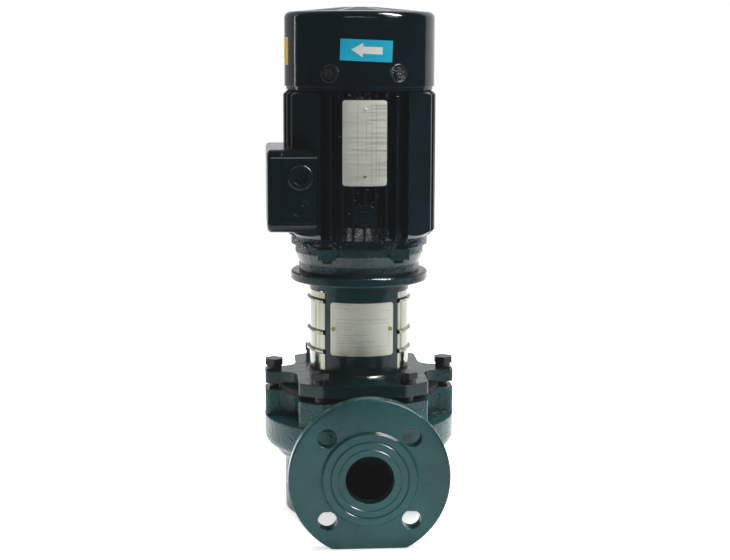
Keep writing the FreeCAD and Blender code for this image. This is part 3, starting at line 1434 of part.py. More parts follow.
def terminal_lid():
    gasket = new_part("terminal_box_gasket")
    profile = sketch_on(gasket, "YZ_Plane", -d.box_joint)
    box_section(profile)
    box_section(profile, -d.box_wall)
    pad(gasket, profile, d.box_gasket, Reversed=True)
    for y, z in lid_corners():
        eye = sketch_on(gasket, "YZ_Plane", -d.box_joint)
        circle(eye, y, z, d.post_radius)
        circle(eye, y, z, d.lid_screw_radius + d.bolt_clearance)
        pad(gasket, eye, d.box_gasket, Reversed=True)
    body = new_part("terminal_box_lid")
    seat = d.box_joint + d.box_gasket
    cover = sketch_on(body, "YZ_Plane", -seat)
    box_section(cover)
    solid = pad(body, cover, d.box_lid, Reversed=True)
    far = seat + d.box_lid
    rounded(body, solid, lambda edge: all(near(v.X, -number(far)) for v in edge.Vertexes), d.lid_rounding)
    inside = sketch_on(body, "YZ_Plane", -seat)
    box_section(inside, -d.box_wall)
    pocket(body, inside, d.box_lid - d.box_wall)
    for y, z in lid_corners():
        post = sketch_on(body, "YZ_Plane", -seat)
        circle(post, y, z, d.lid_screw_head + 1)
        pad(body, post, d.box_lid - d.lid_rounding, Reversed=True)
        well = sketch_on(body, "YZ_Plane", -far)
        circle(well, y, z, d.lid_screw_head + 0.3)
        pocket(body, well, d.lid_well, Reversed=True)
        hole = sketch_on(body, "YZ_Plane", -far)
        circle(hole, y, z, d.lid_screw_radius + d.bolt_clearance)
        pocket(body, hole, d.box_lid + 2, Reversed=True)


def lid_corners():
    reach = d.box_half_width - d.lid_screw_inset
    return [(side * reach, z) for side in (-1, 1)
            for z in (d.box_low + d.lid_screw_inset, d.box_high - d.lid_screw_inset)]


def box_screw_places():
    """Where the box is screwed to the frame, as (y, z) on its floor."""
    reach = d.box_half_width / 2 - 5
    return [(side * reach, z) for side in (-1, 1) for z in (d.box_low + 14, d.box_high - 14)]


def along_x(body, places, head_at, head, head_height, shank, reach):
    """Cheese-head screws along X, their heads towards the left."""
    for y, z in places:
        for radius, length, inwards in ((head, head_height, True), (shank, reach, False)):
            profile = sketch_on(body, "YZ_Plane", -head_at)
            circle(profile, y, z, radius)
            pad(body, profile, length, Reversed=inwards)


def box_fittings():
    lid_screws = new_part("terminal_lid_screws")
    head_seat = d.box_joint + d.box_gasket + d.box_lid - d.lid_well
    along_x(lid_screws, lid_corners(), head_seat, d.lid_screw_head, 3, d.lid_screw_radius - d.thread_gap,
            d.box_lid - d.lid_well + d.box_gasket + 6)
    box_screws = new_part("terminal_box_screws")
    along_x(box_screws, box_screw_places(), d.box_floor + d.box_base, d.lid_screw_head, 2.4,
            d.lid_screw_radius - d.thread_gap, 8)
    board = new_part("terminal_board")
    base = sketch_on(board, "YZ_Plane", -d.box_floor - d.box_base)
    high = d.box_high - 22
    low = lead_height + d.lead_hole + 3
    box_outline(base, -16, 16, low, high, 2)
    pad(board, base, d.board_thickness, Reversed=True)
    studs = new_part("terminal_studs")
    for y in (-10, 0, 10):
        for z in (low + 5, high - 5):
            stem = sketch_on(studs, "YZ_Plane", -d.box_floor - d.box_base - d.board_thickness)
            circle(stem, y, z, d.stud_radius)
            pad(studs, stem, 8, Reversed=True)
            nut = sketch_on(studs, "YZ_Plane", -d.box_floor - d.box_base - d.board_thickness)
            hexagon(nut, y, z, 3.5 * d.stud_radius)
            pad(studs, nut, 3, Reversed=True)
    plug = new_part("cable_entry_plug")
    stem = sketch_on(plug, "XZ_Plane", entry_face)
    circle(stem, -d.gland_side, d.gland_high, d.gland_shank - d.thread_gap)
    pad(plug, stem, d.entry_panel + d.box_wall + 1, Reversed=True)
    head = sketch_on(plug, "XZ_Plane", entry_face)
    circle(head, -d.gland_side, d.gland_high, d.gland_radius)
    flange = pad(plug, head, d.gland_proud)
    rounded(plug, flange, lambda edge: isinstance(edge.Curve, Part.Circle)
            and near(edge.Curve.Radius, d.gland_radius)
            and near(edge.Curve.Center.y, -number(entry_face + d.gland_proud)), d.gland_rounding)
    recess = sketch_on(plug, "XZ_Plane", entry_face + d.gland_proud)
    circle(recess, -d.gland_side, d.gland_high, d.gland_recess)
    pocket(plug, recess, d.gland_recess_depth)


def earth_screw():
    body = new_part("earth_screw")
    seat = d.frame_radius + d.boss_proud
    stem = sketch_on(body, "XZ_Plane", seat)
    circle(stem, 0, boss_middle, d.earth_screw_radius - d.thread_gap)
    pad(body, stem, 8, Reversed=True)
    head = sketch_on(body, "XZ_Plane", seat)
    circle(head, 0, boss_middle, d.earth_screw_head)
    pad(body, head, 2.4)


def motor_rivet_heights():
    return [d.motor_plate_low + d.motor_rivet_inset, d.motor_plate_high - d.motor_rivet_inset]


def motor_nameplate():
    curved_plate("motor_nameplate", d.frame_radius, d.motor_plate_angle, d.motor_plate_low,
                 d.motor_plate_high - d.motor_plate_low, [(FRONT, z) for z in motor_rivet_heights()])


# Build everything, check it and write one file for each part

duct_tilt = math.degrees(math.atan2(number(duct_offset), number(d.volute_centre)))

casing()
wear_ring()
cover_fasteners()
seal_cover()
lantern()
guard("guard_left", 180)
guard("guard_right", 0)
pump_nameplate()
shaft_seal()
impeller()
impeller_fasteners()
pump_shaft()
coupling()
drive_end_shield()
shield_fasteners()
motor_frame()
stator()
rotor_core()
motor_shaft()
bearings()
fan_end_shield()
fan()
fan_cowl()
cowl_screws()
terminal_box()
terminal_lid()
box_fittings()
earth_screw()
motor_nameplate()

doc.recompute()

for item in doc.Objects:
    if "Invalid" in item.State or "Error" in item.State:
        raise RuntimeError("failed: " + item.Name)
for body in parts:
    if body.Shape.isNull() or not body.Shape.isValid():
        raise RuntimeError("bad shape: " + body.Label)
    for step in body.Group:
        cuts = step.TypeId in ("PartDesign::Pocket", "PartDesign::Groove",
                               "PartDesign::SubtractivePipe", "PartDesign::SubtractiveHelix")
        if cuts and step.Shape.Volume > step.BaseFeature.Shape.Volume - 0.01:
            raise RuntimeError("cuts nothing: %s %s" % (body.Label, step.Name))

os.makedirs("parts", exist_ok=True)
for body in parts:
    body.Shape.exportStep("parts/%s.step" % body.Label)
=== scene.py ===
import math

import bmesh
import bpy
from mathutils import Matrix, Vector


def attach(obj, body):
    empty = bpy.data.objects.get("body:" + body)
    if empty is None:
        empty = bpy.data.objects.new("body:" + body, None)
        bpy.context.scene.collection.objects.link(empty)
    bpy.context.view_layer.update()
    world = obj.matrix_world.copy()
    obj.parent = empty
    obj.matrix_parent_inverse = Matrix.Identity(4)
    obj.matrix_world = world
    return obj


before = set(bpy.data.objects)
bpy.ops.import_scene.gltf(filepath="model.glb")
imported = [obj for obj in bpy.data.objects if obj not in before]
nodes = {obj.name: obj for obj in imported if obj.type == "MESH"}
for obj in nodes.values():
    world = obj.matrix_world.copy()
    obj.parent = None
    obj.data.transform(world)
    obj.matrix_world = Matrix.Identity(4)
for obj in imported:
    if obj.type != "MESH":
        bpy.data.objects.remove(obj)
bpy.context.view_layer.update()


# Studio: white paper under the pump, with a bright wall behind it and a dark room in front.
# The camera stands a metre and a half away, level with the fan cowl, and looks down a little.
# Three of the lamps show in the gloss only, the top light everywhere else; a haze lifts the blacks.

SENSOR_WIDTH, FOCAL_LENGTH = 36.0, 77.70
CAMERA_PLACE = (-0.110, -1.5441, 0.4679)
LOOK_DOWN, ROLL, TURN = 8.787, -0.16, -4.273
HAZE = 0.0075

camera_data = bpy.data.cameras.new("camera")
camera_data.sensor_width = SENSOR_WIDTH
camera_data.lens = FOCAL_LENGTH
camera = bpy.data.objects.new("camera", camera_data)
camera.location = CAMERA_PLACE
camera.rotation_euler = (math.radians(90 - LOOK_DOWN), math.radians(ROLL), math.radians(TURN))
bpy.context.scene.collection.objects.link(camera)
bpy.context.scene.camera = camera

view = bpy.context.scene.view_settings
view.view_transform = "Standard"
view.use_curve_mapping = True
all_colours = view.curve_mapping.curves[3]
all_colours.points[0].location = (0.0, HAZE)
view.curve_mapping.update()


COAT_ROUGHNESS = 0.08


def finish(name, colour, roughness, metallic=0.0, coat=0.0, specular=0.5):
    """A new material, its plain values on the shader's own sockets."""
    made = bpy.data.materials.new(name)
    made.use_nodes = True
    surface = made.node_tree.nodes["Principled BSDF"]
    surface.inputs["Base Color"].default_value = (*colour, 1)
    surface.inputs["Roughness"].default_value = roughness
    surface.inputs["Metallic"].default_value = metallic
    surface.inputs["Specular IOR Level"].default_value = specular
    surface.inputs["Coat Weight"].default_value = coat
    surface.inputs["Coat Roughness"].default_value = COAT_ROUGHNESS
    return made


PAPER_SIDE, PAPER_FRONT, PAPER_BACK = 1.6, -0.65, 1.5
PAPER_LEVEL = -0.0006

paper_corners = [(-PAPER_SIDE, PAPER_FRONT, PAPER_LEVEL), (PAPER_SIDE, PAPER_FRONT, PAPER_LEVEL),
                 (PAPER_SIDE, PAPER_BACK, PAPER_LEVEL), (-PAPER_SIDE, PAPER_BACK, PAPER_LEVEL)]
paper_mesh = bpy.data.meshes.new("floor")
paper_mesh.from_pydata(paper_corners, [], [(0, 1, 2, 3)])
paper = bpy.data.objects.new("floor", paper_mesh)
bpy.context.scene.collection.objects.link(paper)
white_paper = finish("white_paper", (0.95, 0.95, 0.95), roughness=0.9, specular=0.1)
paper_shader = white_paper.node_tree.nodes["Principled BSDF"]
paper_shader.inputs["Emission Color"].default_value = (1, 1, 1, 1)
paper_shader.inputs["Emission Strength"].default_value = 0.7
paper_mesh.materials.append(white_paper)


def soft_light(name, place, aim, width, height, power, glint=False):
    """A rectangular soft box that stands at a place and faces a point on the pump.
    A glint lamp shows in the gloss only and lights nothing else."""
    light = bpy.data.lights.new(name, "AREA")
    light.shape = "RECTANGLE"
    light.size, light.size_y = width, height
    light.energy = power
    box = bpy.data.objects.new(name, light)
    box.location = place
    box.rotation_euler = (Vector(aim) - Vector(place)).to_track_quat("-Z", "Y").to_euler()
    box.visible_diffuse = not glint
    bpy.context.scene.collection.objects.link(box)
    return box


top_light = soft_light("top_light", place=(0.0, 0.55, 2.3), aim=(0, 0.45, 0),
                       width=2.2, height=1.6, power=75)
top_light.visible_glossy = False
soft_light("front_lamp", place=(-0.05, -1.05, 0.64), aim=(0, 0, 0.28),
           width=0.9, height=0.12, power=3.0, glint=True)
soft_light("ceiling_lamp", place=(0.72, -0.45, 1.30), aim=(0, 0, 0.45),
           width=0.30, height=0.9, power=60, glint=True)
soft_light("left_strip", place=(-1.5, 0.82, 0.45), aim=(0, 0, 0.45),
           width=0.035, height=1.3, power=1.6, glint=True)
soft_light("side_light", place=(1.1, -1.0, 1.0), aim=(0, 0, 0.3),
           width=0.5, height=0.9, power=7)


def axes(made, source="Object"):
    """X, Y and Z as sockets: of a place on the pump in metres or, with Generated, of a way out."""
    tree = made.node_tree
    place = tree.nodes.new("ShaderNodeTexCoord")
    parts = tree.nodes.new("ShaderNodeSeparateXYZ")
    tree.links.new(place.outputs[source], parts.inputs[0])
    return parts.outputs["X"], parts.outputs["Y"], parts.outputs["Z"]


def fade(made, value, start, end, low=0.0, high=1.0):
    """Runs from low at start to high at end and stays there on both sides."""
    tree = made.node_tree
    ramp = tree.nodes.new("ShaderNodeMapRange")
    for socket, number in (("From Min", start), ("From Max", end), ("To Min", low), ("To Max", high)):
        ramp.inputs[socket].default_value = number
    tree.links.new(value, ramp.inputs["Value"])
    return ramp.outputs["Result"]


def worked(made, kind, first, second=0):
    """One step of arithmetic on two sockets or numbers."""
    step = made.node_tree.nodes.new("ShaderNodeMath")
    step.operation = kind
    for slot, value in enumerate((first, second)):
        if isinstance(value, (int, float)):
            step.inputs[slot].default_value = value
        else:
            made.node_tree.links.new(value, step.inputs[slot])
    return step.outputs["Value"]


WALL_STARTS, WALL_FULL, ROOM_LIGHT = 0.44, 0.47, 0.05
LEFT_LIGHT, RIGHT_LIGHT, SIDE_SPREAD = 0.38, 0.95, 0.4

world = bpy.data.worlds.new("studio")
bpy.context.scene.world = world
world.use_nodes = True
air = world.node_tree
background = air.nodes["Background"]
background.inputs["Color"].default_value = (1, 1, 1, 1)
way_right, way_back = axes(world, "Generated")[:2]
towards_wall = fade(world, way_back, WALL_STARTS, WALL_FULL, ROOM_LIGHT, 1.0)
from_left = fade(world, way_right, -SIDE_SPREAD, SIDE_SPREAD, LEFT_LIGHT, RIGHT_LIGHT)
room = worked(world, "MULTIPLY", towards_wall, from_left)
seen = air.nodes.new("ShaderNodeLightPath")
brightness = air.nodes.new("ShaderNodeMix")
air.links.new(seen.outputs["Is Camera Ray"], brightness.inputs["Factor"])
air.links.new(room, brightness.inputs["A"])
brightness.inputs["B"].default_value = 1.0
air.links.new(brightness.outputs["Result"], background.inputs["Strength"])


# Casing: grey iron cast in one piece, a volute bowl on a round foot with a flanged port front and
# back. Primed and sprayed with glossy dark green enamel, which softens the sand-cast skin. The two
# flange faces are turned smooth before the paint; their inner sealing groove is drawn as relief.
# The enamel is the one on the whole pump, but its base colour here is set much lighter than on the
# motor: painted light from the white paper below.

NOISE_LOW, NOISE_HIGH = 0.3, 0.7
EDGE_SAMPLES = 4
CLOUD_SIZE, GLOSS_SIZE = 0.05, 0.012


def grain(made, size, detail=2.0, stretch=(1, 1, 1)):
    """Noise whose blots measure about size metres, longer along an axis with a small stretch."""
    tree = made.node_tree
    place = tree.nodes.new("ShaderNodeTexCoord")
    scaled = tree.nodes.new("ShaderNodeMapping")
    scaled.inputs["Scale"].default_value = stretch
    noise = tree.nodes.new("ShaderNodeTexNoise")
    noise.inputs["Scale"].default_value = 1 / size
    noise.inputs["Detail"].default_value = detail
    tree.links.new(place.outputs["Object"], scaled.inputs["Vector"])
    tree.links.new(scaled.outputs["Vector"], noise.inputs["Vector"])
    return noise.outputs["Fac"]


def tint(made, source, stops):
    """Colours the surface by a noise, with (position, colour) stops."""
    tree = made.node_tree
    ramp = tree.nodes.new("ShaderNodeValToRGB")
    while len(ramp.color_ramp.elements) < len(stops):
        ramp.color_ramp.elements.new(0.5)
    for element, (position, colour) in zip(ramp.color_ramp.elements, stops):
        element.position = position
        element.color = (*colour, 1)
    tree.links.new(source, ramp.inputs["Fac"])
    tree.links.new(ramp.outputs["Color"], tree.nodes["Principled BSDF"].inputs["Base Color"])


def dull(made, source, low, high):
    """Lets a noise move the roughness between two values."""
    tree = made.node_tree
    tree.links.new(fade(made, source, NOISE_LOW, NOISE_HIGH, low, high),
                   tree.nodes["Principled BSDF"].inputs["Roughness"])


def relief(made, heights, edge=0.0):
    """Bumps from (noise, depth in metres) pairs over edges that are worn or sprayed round."""
    tree = made.node_tree
    normal = None
    if edge:
        corner = tree.nodes.new("ShaderNodeBevel")
        corner.samples = EDGE_SAMPLES
        if isinstance(edge, float):
            corner.inputs["Radius"].default_value = edge
        else:
            tree.links.new(edge, corner.inputs["Radius"])
        normal = corner.outputs["Normal"]
    for source, depth in heights:
        bump = tree.nodes.new("ShaderNodeBump")
        bump.inputs["Distance"].default_value = depth
        tree.links.new(source, bump.inputs["Height"])
        if normal is not None:
            tree.links.new(normal, bump.inputs["Normal"])
        normal = bump.outputs["Normal"]
    tree.links.new(normal, tree.nodes["Principled BSDF"].inputs["Normal"])


def green_enamel(name, colour, roughness, lumps=(), edge=0.0008, specular=0.22):
    """Dark green enamel over a skin with lumps of (size, depth)."""
    made = finish(name, colour, roughness, coat=0.1, specular=specular)
    thin, thick = [tuple(part * share for part in colour) for share in (1.25, 0.75)]
    tint(made, grain(made, CLOUD_SIZE, detail=3.0), [(0.35, thick), (0.5, colour), (0.68, thin)])
    dull(made, grain(made, GLOSS_SIZE, detail=3.0), roughness * 0.8, roughness * 1.5)
    if lumps:
        relief(made, [(grain(made, size), depth) for size, depth in lumps], edge)
    return made


def rough_in(made, area, size, depth, detail=2.0):
    """A pair for relief whose noise shows in one area only."""
    return worked(made, "MULTIPLY", grain(made, size, detail), area), depth


def distance(made, one, other):
    """How far a place is from a line, from its two offsets square to that line."""
    squares = [worked(made, "POWER", offset, 2) for offset in (one, other)]
    return worked(made, "SQRT", worked(made, "ADD", *squares))


def coat_node(material, *names):
    """Gives CAD nodes a material."""
    for name in names:
        for slot in nodes[name].material_slots:
            slot.material = material


PORT_HEIGHT = 0.066
FLANGE_BACK, SKIN_FADE = 0.130, 0.004
FACE_FROM, FACE_FULL = 0.1494, 0.1497
GROOVE_RADIUS, GROOVE_WIDTH, GROOVE_DEPTH = 0.029, 0.002, 0.0009
TURNED_EDGE, CAST_EDGE = 0.0008, 0.0024
TURNED_OUT_TO, CAST_FROM = 0.050, 0.055

# Base colour much lighter than the motor's for the same enamel: painted light.
cast_enamel = green_enamel("cast_enamel", (0.010, 0.073, 0.077), roughness=0.2)
across, along, upwards = axes(cast_enamel)
outwards = worked(cast_enamel, "ABSOLUTE", along)
sand_skin = fade(cast_enamel, outwards, FLANGE_BACK + SKIN_FADE, FLANGE_BACK - SKIN_FADE)
from_port = distance(cast_enamel, across, worked(cast_enamel, "SUBTRACT", upwards, PORT_HEIGHT))
from_groove = worked(cast_enamel, "ABSOLUTE", worked(cast_enamel, "SUBTRACT", from_port, GROOVE_RADIUS))
in_groove = fade(cast_enamel, from_groove, GROOVE_WIDTH / 2, 0)
on_face = fade(cast_enamel, outwards, FACE_FROM, FACE_FULL)
groove = worked(cast_enamel, "SUBTRACT", 1, worked(cast_enamel, "MULTIPLY", in_groove, on_face))
edge_rounding = fade(cast_enamel, from_port, TURNED_OUT_TO, CAST_FROM, TURNED_EDGE, CAST_EDGE)
relief(cast_enamel, [rough_in(cast_enamel, sand_skin, size=0.0022, depth=0.0011),
                     rough_in(cast_enamel, sand_skin, size=0.012, depth=0.0010),
                     (grain(cast_enamel, 0.02), 0.0002),
                     (groove, GROOVE_DEPTH)], edge=edge_rounding)
coat_node(cast_enamel, "casing")


# Wear ring: bronze, turned and pressed into the casing under the eye of the impeller.
# The impeller's neck runs in it with a hair of clearance.

bronze = finish("bronze", (0.55, 0.36, 0.14), roughness=0.32, metallic=1.0)
dull(bronze, grain(bronze, 0.003, stretch=(1, 1, 20)), 0.24, 0.42)
coat_node(bronze, "wear_ring")


# Impeller: closed wheel cast in grey iron. Its shrouds are skimmed on a lathe, the water ways
# between the vanes stay as cast. A zinc-plated washer and nut hold it on the end of the shaft.

grey_iron = finish("grey_iron", (0.20, 0.20, 0.20), roughness=0.5, metallic=0.7)
tint(grey_iron, grain(grey_iron, 0.006, detail=4.0), [(0.3, (0.13, 0.13, 0.13)), (0.7, (0.27, 0.265, 0.26))])
relief(grey_iron, [(grain(grey_iron, 0.0015), 0.0002)], edge=0.0004)
coat_node(grey_iron, "impeller")

zinc = finish("zinc", (0.50, 0.50, 0.49), roughness=0.3, metallic=1.0)
dull(zinc, grain(zinc, 0.004, detail=3.0), 0.22, 0.42)
relief(zinc, [(grain(zinc, 0.002), 0.00005)], edge=0.0004)
coat_node(zinc, "impeller_washer", "impeller_nut")


# Pump shaft: carbon steel, turned and then ground where the seal and the coupling sit.
# A steel key in a milled seat drives the impeller.

ground_steel = finish("ground_steel", (0.56, 0.57, 0.58), roughness=0.22, metallic=1.0)
dull(ground_steel, grain(ground_steel, 0.0015, stretch=(1, 1, 12)), 0.16, 0.34)
relief(ground_steel, [(grain(ground_steel, 0.001, stretch=(1, 1, 14)), 0.00002)], edge=0.0003)
coat_node(ground_steel, "pump_shaft", "impeller_key")


# Shaft seal: a carbon ring on the shaft pressed by a steel coil spring against a fixed ring.
# Their lapped faces are almost mirrors.

lapped = finish("lapped_carbon", (0.05, 0.05, 0.055), roughness=0.18)
dull(lapped, grain(lapped, 0.004), 0.12, 0.28)
coat_node(lapped, "seal_seat", "seal_head")
coat_node(ground_steel, "seal_spring")


# Seal cover: turned iron plate clamped between casing and lantern, seen only as the dark gap
# between them. Its near-black, dull colour is painted shade for that gap, far darker than turned
# iron. A moulded rubber ring in its groove seals it against the casing.

# Near-black colour with darker and lighter blots: painted shade of the gap.
gap_shade_iron = finish("iron_dark_as_shade", (0.006, 0.008, 0.009), roughness=0.6, specular=0.12)
tint(gap_shade_iron, grain(gap_shade_iron, 0.01, detail=4.0),
     [(0.3, (0.004, 0.005, 0.006)), (0.7, (0.010, 0.013, 0.014))])
relief(gap_shade_iron, [(grain(gap_shade_iron, 0.001, stretch=(1, 1, 10)), 0.00005)], edge=0.0004)
coat_node(gap_shade_iron, "seal_cover")

rubber = finish("black_rubber", (0.012, 0.012, 0.012), roughness=0.75)
tint(rubber, grain(rubber, 0.01, detail=3.0), [(0.3, (0.008, 0.008, 0.008)), (0.7, (0.020, 0.020, 0.020))])
relief(rubber, [(grain(rubber, 0.0008), 0.00004)], edge=0.0003)
coat_node(rubber, "casing_o_ring")


# Lantern: cast iron, with a scalloped plate, a tube with two arms and the disc for the motor.
# Enamelled smoother than the bowl, in the same enamel, its base colour set between the casing's and
# the motor's: painted light. Six hexagon bolts with washers, in the motor's darker tone of that
# enamel, draw it down on the casing.

# Base colour between the casing's and the motor's tones of one enamel: painted light.
lantern_enamel = green_enamel("lantern_enamel", (0.0042, 0.030, 0.034), roughness=0.16,
                              lumps=[(0.004, 0.00025), (0.015, 0.0005)], edge=0.001)
coat_node(lantern_enamel, "lantern")

# The darkest tone of the one enamel that covers the pump; the lighter tones of casing, lantern and shield
# are painted light.
MOTOR_GREEN = (0.0018, 0.0105, 0.0160)
bolt_enamel = green_enamel("bolt_enamel", MOTOR_GREEN, roughness=0.2, lumps=[(0.004, 0.0002)])
coat_node(bolt_enamel, "cover_bolts", "cover_bolt_washers")


# Coupling: two cast iron half shells, drawn together round both shaft ends by four zinc-plated
# screws. A ground steel pin through the pump shaft locks it to the shells.

coat_node(grey_iron, "coupling_front_half", "coupling_rear_half")
coat_node(zinc, "coupling_screws")
coat_node(ground_steel, "coupling_pin")


# Pump nameplate: a brushed steel sheet bent to the lantern's tube and held by two brass rivets.
# It carries only thin printed rules: a frame, a few rows and a head line.

brushed = finish("brushed_plate", (0.56, 0.58, 0.50), roughness=0.40, metallic=0.5)
dull(brushed, grain(brushed, 0.0012, detail=3.0, stretch=(0.03, 0.03, 1)), 0.26, 0.46)
coat_node(brushed, "pump_nameplate")
old_brass = finish("old_brass", (0.20, 0.15, 0.04), roughness=0.35, metallic=0.9)
tint(old_brass, grain(old_brass, 0.001), [(0.35, (0.09, 0.075, 0.02)), (0.65, (0.42, 0.33, 0.10))])
coat_node(old_brass, "pump_nameplate_rivets")

COLUMN_WIDTH = 0.002


def housing_piece(name, mesh, material):
    """Makes the built mesh a piece that rides on the housing."""
    bmesh.ops.recalc_face_normals(mesh, faces=mesh.faces)
    data = bpy.data.meshes.new(name)
    mesh.to_mesh(data)
    mesh.free()
    data.materials.append(material)
    piece = bpy.data.objects.new(name, data)
    bpy.context.scene.collection.objects.link(piece)
    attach(piece, "housing")
    return piece


def wrapped(name, strips, radius, height, thickness, material, turn=0.0, tilt=0.0):
    """Thin sheets wrapped round the shaft's axis, facing turn degrees to the right of the front.
    Each strip has its columns (across, low, high) from left to right, in metres from the middle."""
    mesh = bmesh.new()
    lean = math.radians(tilt)

    def on_wall(across, up, out):
        across, up = (across * math.cos(lean) + up * math.sin(lean),
                      up * math.cos(lean) - across * math.sin(lean))
        angle = math.radians(turn) + across / radius
        return ((radius + out) * math.sin(angle), -(radius + out) * math.cos(angle), height + up)

    for strip in strips:
        rings = []
        for (x0, low0, high0), (x1, low1, high1) in zip(strip, strip[1:]):
            steps = max(1, math.ceil((x1 - x0) / COLUMN_WIDTH))
            first = 0 if not rings else 1
            for step in range(first, steps + 1):
                share = step / steps
                x = x0 + (x1 - x0) * share
                low, high = low0 + (low1 - low0) * share, high0 + (high1 - high0) * share
                rings.append([mesh.verts.new(on_wall(x, up, out))
                              for up, out in ((low, 0), (low, thickness), (high, thickness), (high, 0))])
        for ring, after in zip(rings, rings[1:]):
            for side in range(4):
                mesh.faces.new((ring[side], after[side], after[(side + 1) % 4], ring[(side + 1) % 4]))
        mesh.faces.new(rings[0])
        mesh.faces.new(rings[-1][::-1])
    return housing_piece(name, mesh, material)


RULE_WIDTH, INK_THICKNESS = 0.00022, 0.00003


def box_strip(left, right, low, high):
    """A strip of one height from left to right."""
    return [(left, low, high), (right, low, high)]


def level_rule(left, right, level):
    return box_strip(left, right, level, level + RULE_WIDTH)


def upright_rule(place, low, high):
    return box_strip(place, place + RULE_WIDTH, low, high)


plate_ink = finish("plate_ink", (0.10, 0.11, 0.10), roughness=0.6)
tint(plate_ink, grain(plate_ink, 0.002), [(0.35, (0.06, 0.07, 0.06)), (0.65, (0.20, 0.21, 0.19))])
relief(plate_ink, [(grain(plate_ink, 0.0006), 0.00002)])

PUMP_PLATE_FACE, PUMP_PLATE_MIDDLE = 0.0501, 0.1870
FRAME_LEFT, FRAME_RIGHT, FRAME_LOW, FRAME_HIGH = -0.0252, 0.0274, -0.0168, 0.0062
HEAD_LINE, ROW_INDENT = 0.0100, 0.0015
ROW_ENDS = [(0.0030, 0.017), (0.0005, 0.015), (-0.0052, 0.030), (-0.0079, 0.016),
            (-0.0105, 0.019), (-0.0132, 0.024)]

pump_rules = [level_rule(FRAME_LEFT, FRAME_RIGHT, level) for level in (FRAME_LOW, FRAME_HIGH, HEAD_LINE)]
pump_rules += [level_rule(FRAME_LEFT + ROW_INDENT, FRAME_LEFT + end, level) for level, end in ROW_ENDS]
pump_rules += [upright_rule(side, FRAME_LOW, FRAME_HIGH) for side in (FRAME_LEFT, FRAME_RIGHT)]
wrapped("pump_plate_rules", pump_rules, PUMP_PLATE_FACE, PUMP_PLATE_MIDDLE, INK_THICKNESS, plate_ink)


# Guards: two half shells of thin polished stainless steel with three rolled ribs each.
# They spring into the lantern's side openings and hide the coupling. The olive tone and the long
# upright dark and pale streaks in their colour are painted reflections of the dark tube and the
# green enamel around them.

stainless_painted_reflections = finish("polished_stainless", (0.46, 0.48, 0.41), roughness=0.13, metallic=1.0)
# Olive tone with long upright dark and pale streaks: painted reflections.
tint(stainless_painted_reflections, grain(stainless_painted_reflections, 0.004, stretch=(1, 1, 0.04)),
     [(0.32, (0.13, 0.14, 0.105)), (0.45, (0.24, 0.25, 0.20)), (0.66, (0.33, 0.35, 0.29))])
dull(stainless_painted_reflections, grain(stainless_painted_reflections, 0.02, detail=3.0, stretch=(1, 1, 0.3)), 0.08, 0.24)
relief(stainless_painted_reflections, [(grain(stainless_painted_reflections, 0.03, detail=1.0), 0.0004)])
coat_node(stainless_painted_reflections, "guard_left", "guard_right")


# Drive-end shield: a cast dish that centres the motor on the lantern's disc and holds its lower
# bearing. Four zinc-plated screws in its floor go down into the disc, and a moulded rubber lip
# seal keeps water out.

# Base colour set lighter than the frame's for the same enamel: painted light.
shield_enamel = green_enamel("shield_enamel", (0.0052, 0.033, 0.037), roughness=0.2,
                             lumps=[(0.0030, 0.0006), (0.010, 0.0006)], specular=0.32)
coat_node(shield_enamel, "drive_end_shield")
coat_node(zinc, "motor_flange_screws")
coat_node(rubber, "shaft_lip_seal")


# Motor frame: die-cast aluminium with upright fins, smooth corner panels and a core with a rough
# skin, sprayed dark green together with the upper shield. Four tie bolts come up into its corners
# through the lower shield's lugs, and an earth screw sits on the boss in front.

CORE_RADIUS, CORE_FADE = 0.070, 0.003

frame_enamel = green_enamel("frame_enamel", MOTOR_GREEN, roughness=0.12)
across, along, upwards = axes(frame_enamel)
core_skin = fade(frame_enamel, distance(frame_enamel, across, along), CORE_RADIUS, CORE_RADIUS - CORE_FADE)
relief(frame_enamel, [rough_in(frame_enamel, core_skin, size=0.0040, depth=0.0010, detail=1.0),
                      (grain(frame_enamel, 0.008), 0.00012),
                      (grain(frame_enamel, 0.03), 0.0005)], edge=0.0006)
coat_node(frame_enamel, "motor_frame", "tie_bolts", "earth_screw", "fan_end_shield")


# Stator and rotor: stacks of punched core sheet, the stator's pressed into the frame and wound
# with varnished copper, the rotor's shrunk on the ground steel motor shaft.

core_steel = finish("core_sheet", (0.25, 0.25, 0.26), roughness=0.4, metallic=1.0)
relief(core_steel, [(grain(core_steel, 0.0010, detail=0.0, stretch=(0.01, 0.01, 1)), 0.0001)])
coat_node(core_steel, "stator_core", "rotor_core")

copper = finish("varnished_copper", (0.45, 0.15, 0.05), roughness=0.28, metallic=0.8, coat=0.5)
relief(copper, [(grain(copper, 0.0020, detail=1.0, stretch=(1, 1, 0.2)), 0.0006)])
coat_node(copper, "stator_winding")
coat_node(ground_steel, "motor_shaft")


# Bearings: deep groove ball bearings of hardened, ground steel, one in each shield.
# A wave washer of spring steel lies on the lower one and takes up its play.

for end in ("drive_end", "fan_end"):
    coat_node(ground_steel, end + "_bearing_outer_ring", end + "_bearing_inner_ring",
              end + "_bearing_ball_cage")
coat_node(ground_steel, "wave_washer")


# Terminal box: die-cast box and lid, painted with the frame, on a saddle at the motor's left, with
# the gasket between them painted over. Zinc-plated screws inside hold the box down, beside a
# moulded board with bronze studs.

coat_node(frame_enamel, "terminal_box", "terminal_box_gasket", "terminal_box_lid", "terminal_lid_screws",
          "cable_entry_plug")
coat_node(zinc, "terminal_box_screws")
coat_node(lapped, "terminal_board")
coat_node(bronze, "terminal_studs")


# Fan: black plastic, moulded in one piece with straight blades for either running direction.
# A spring steel circlip keeps it on the motor shaft.

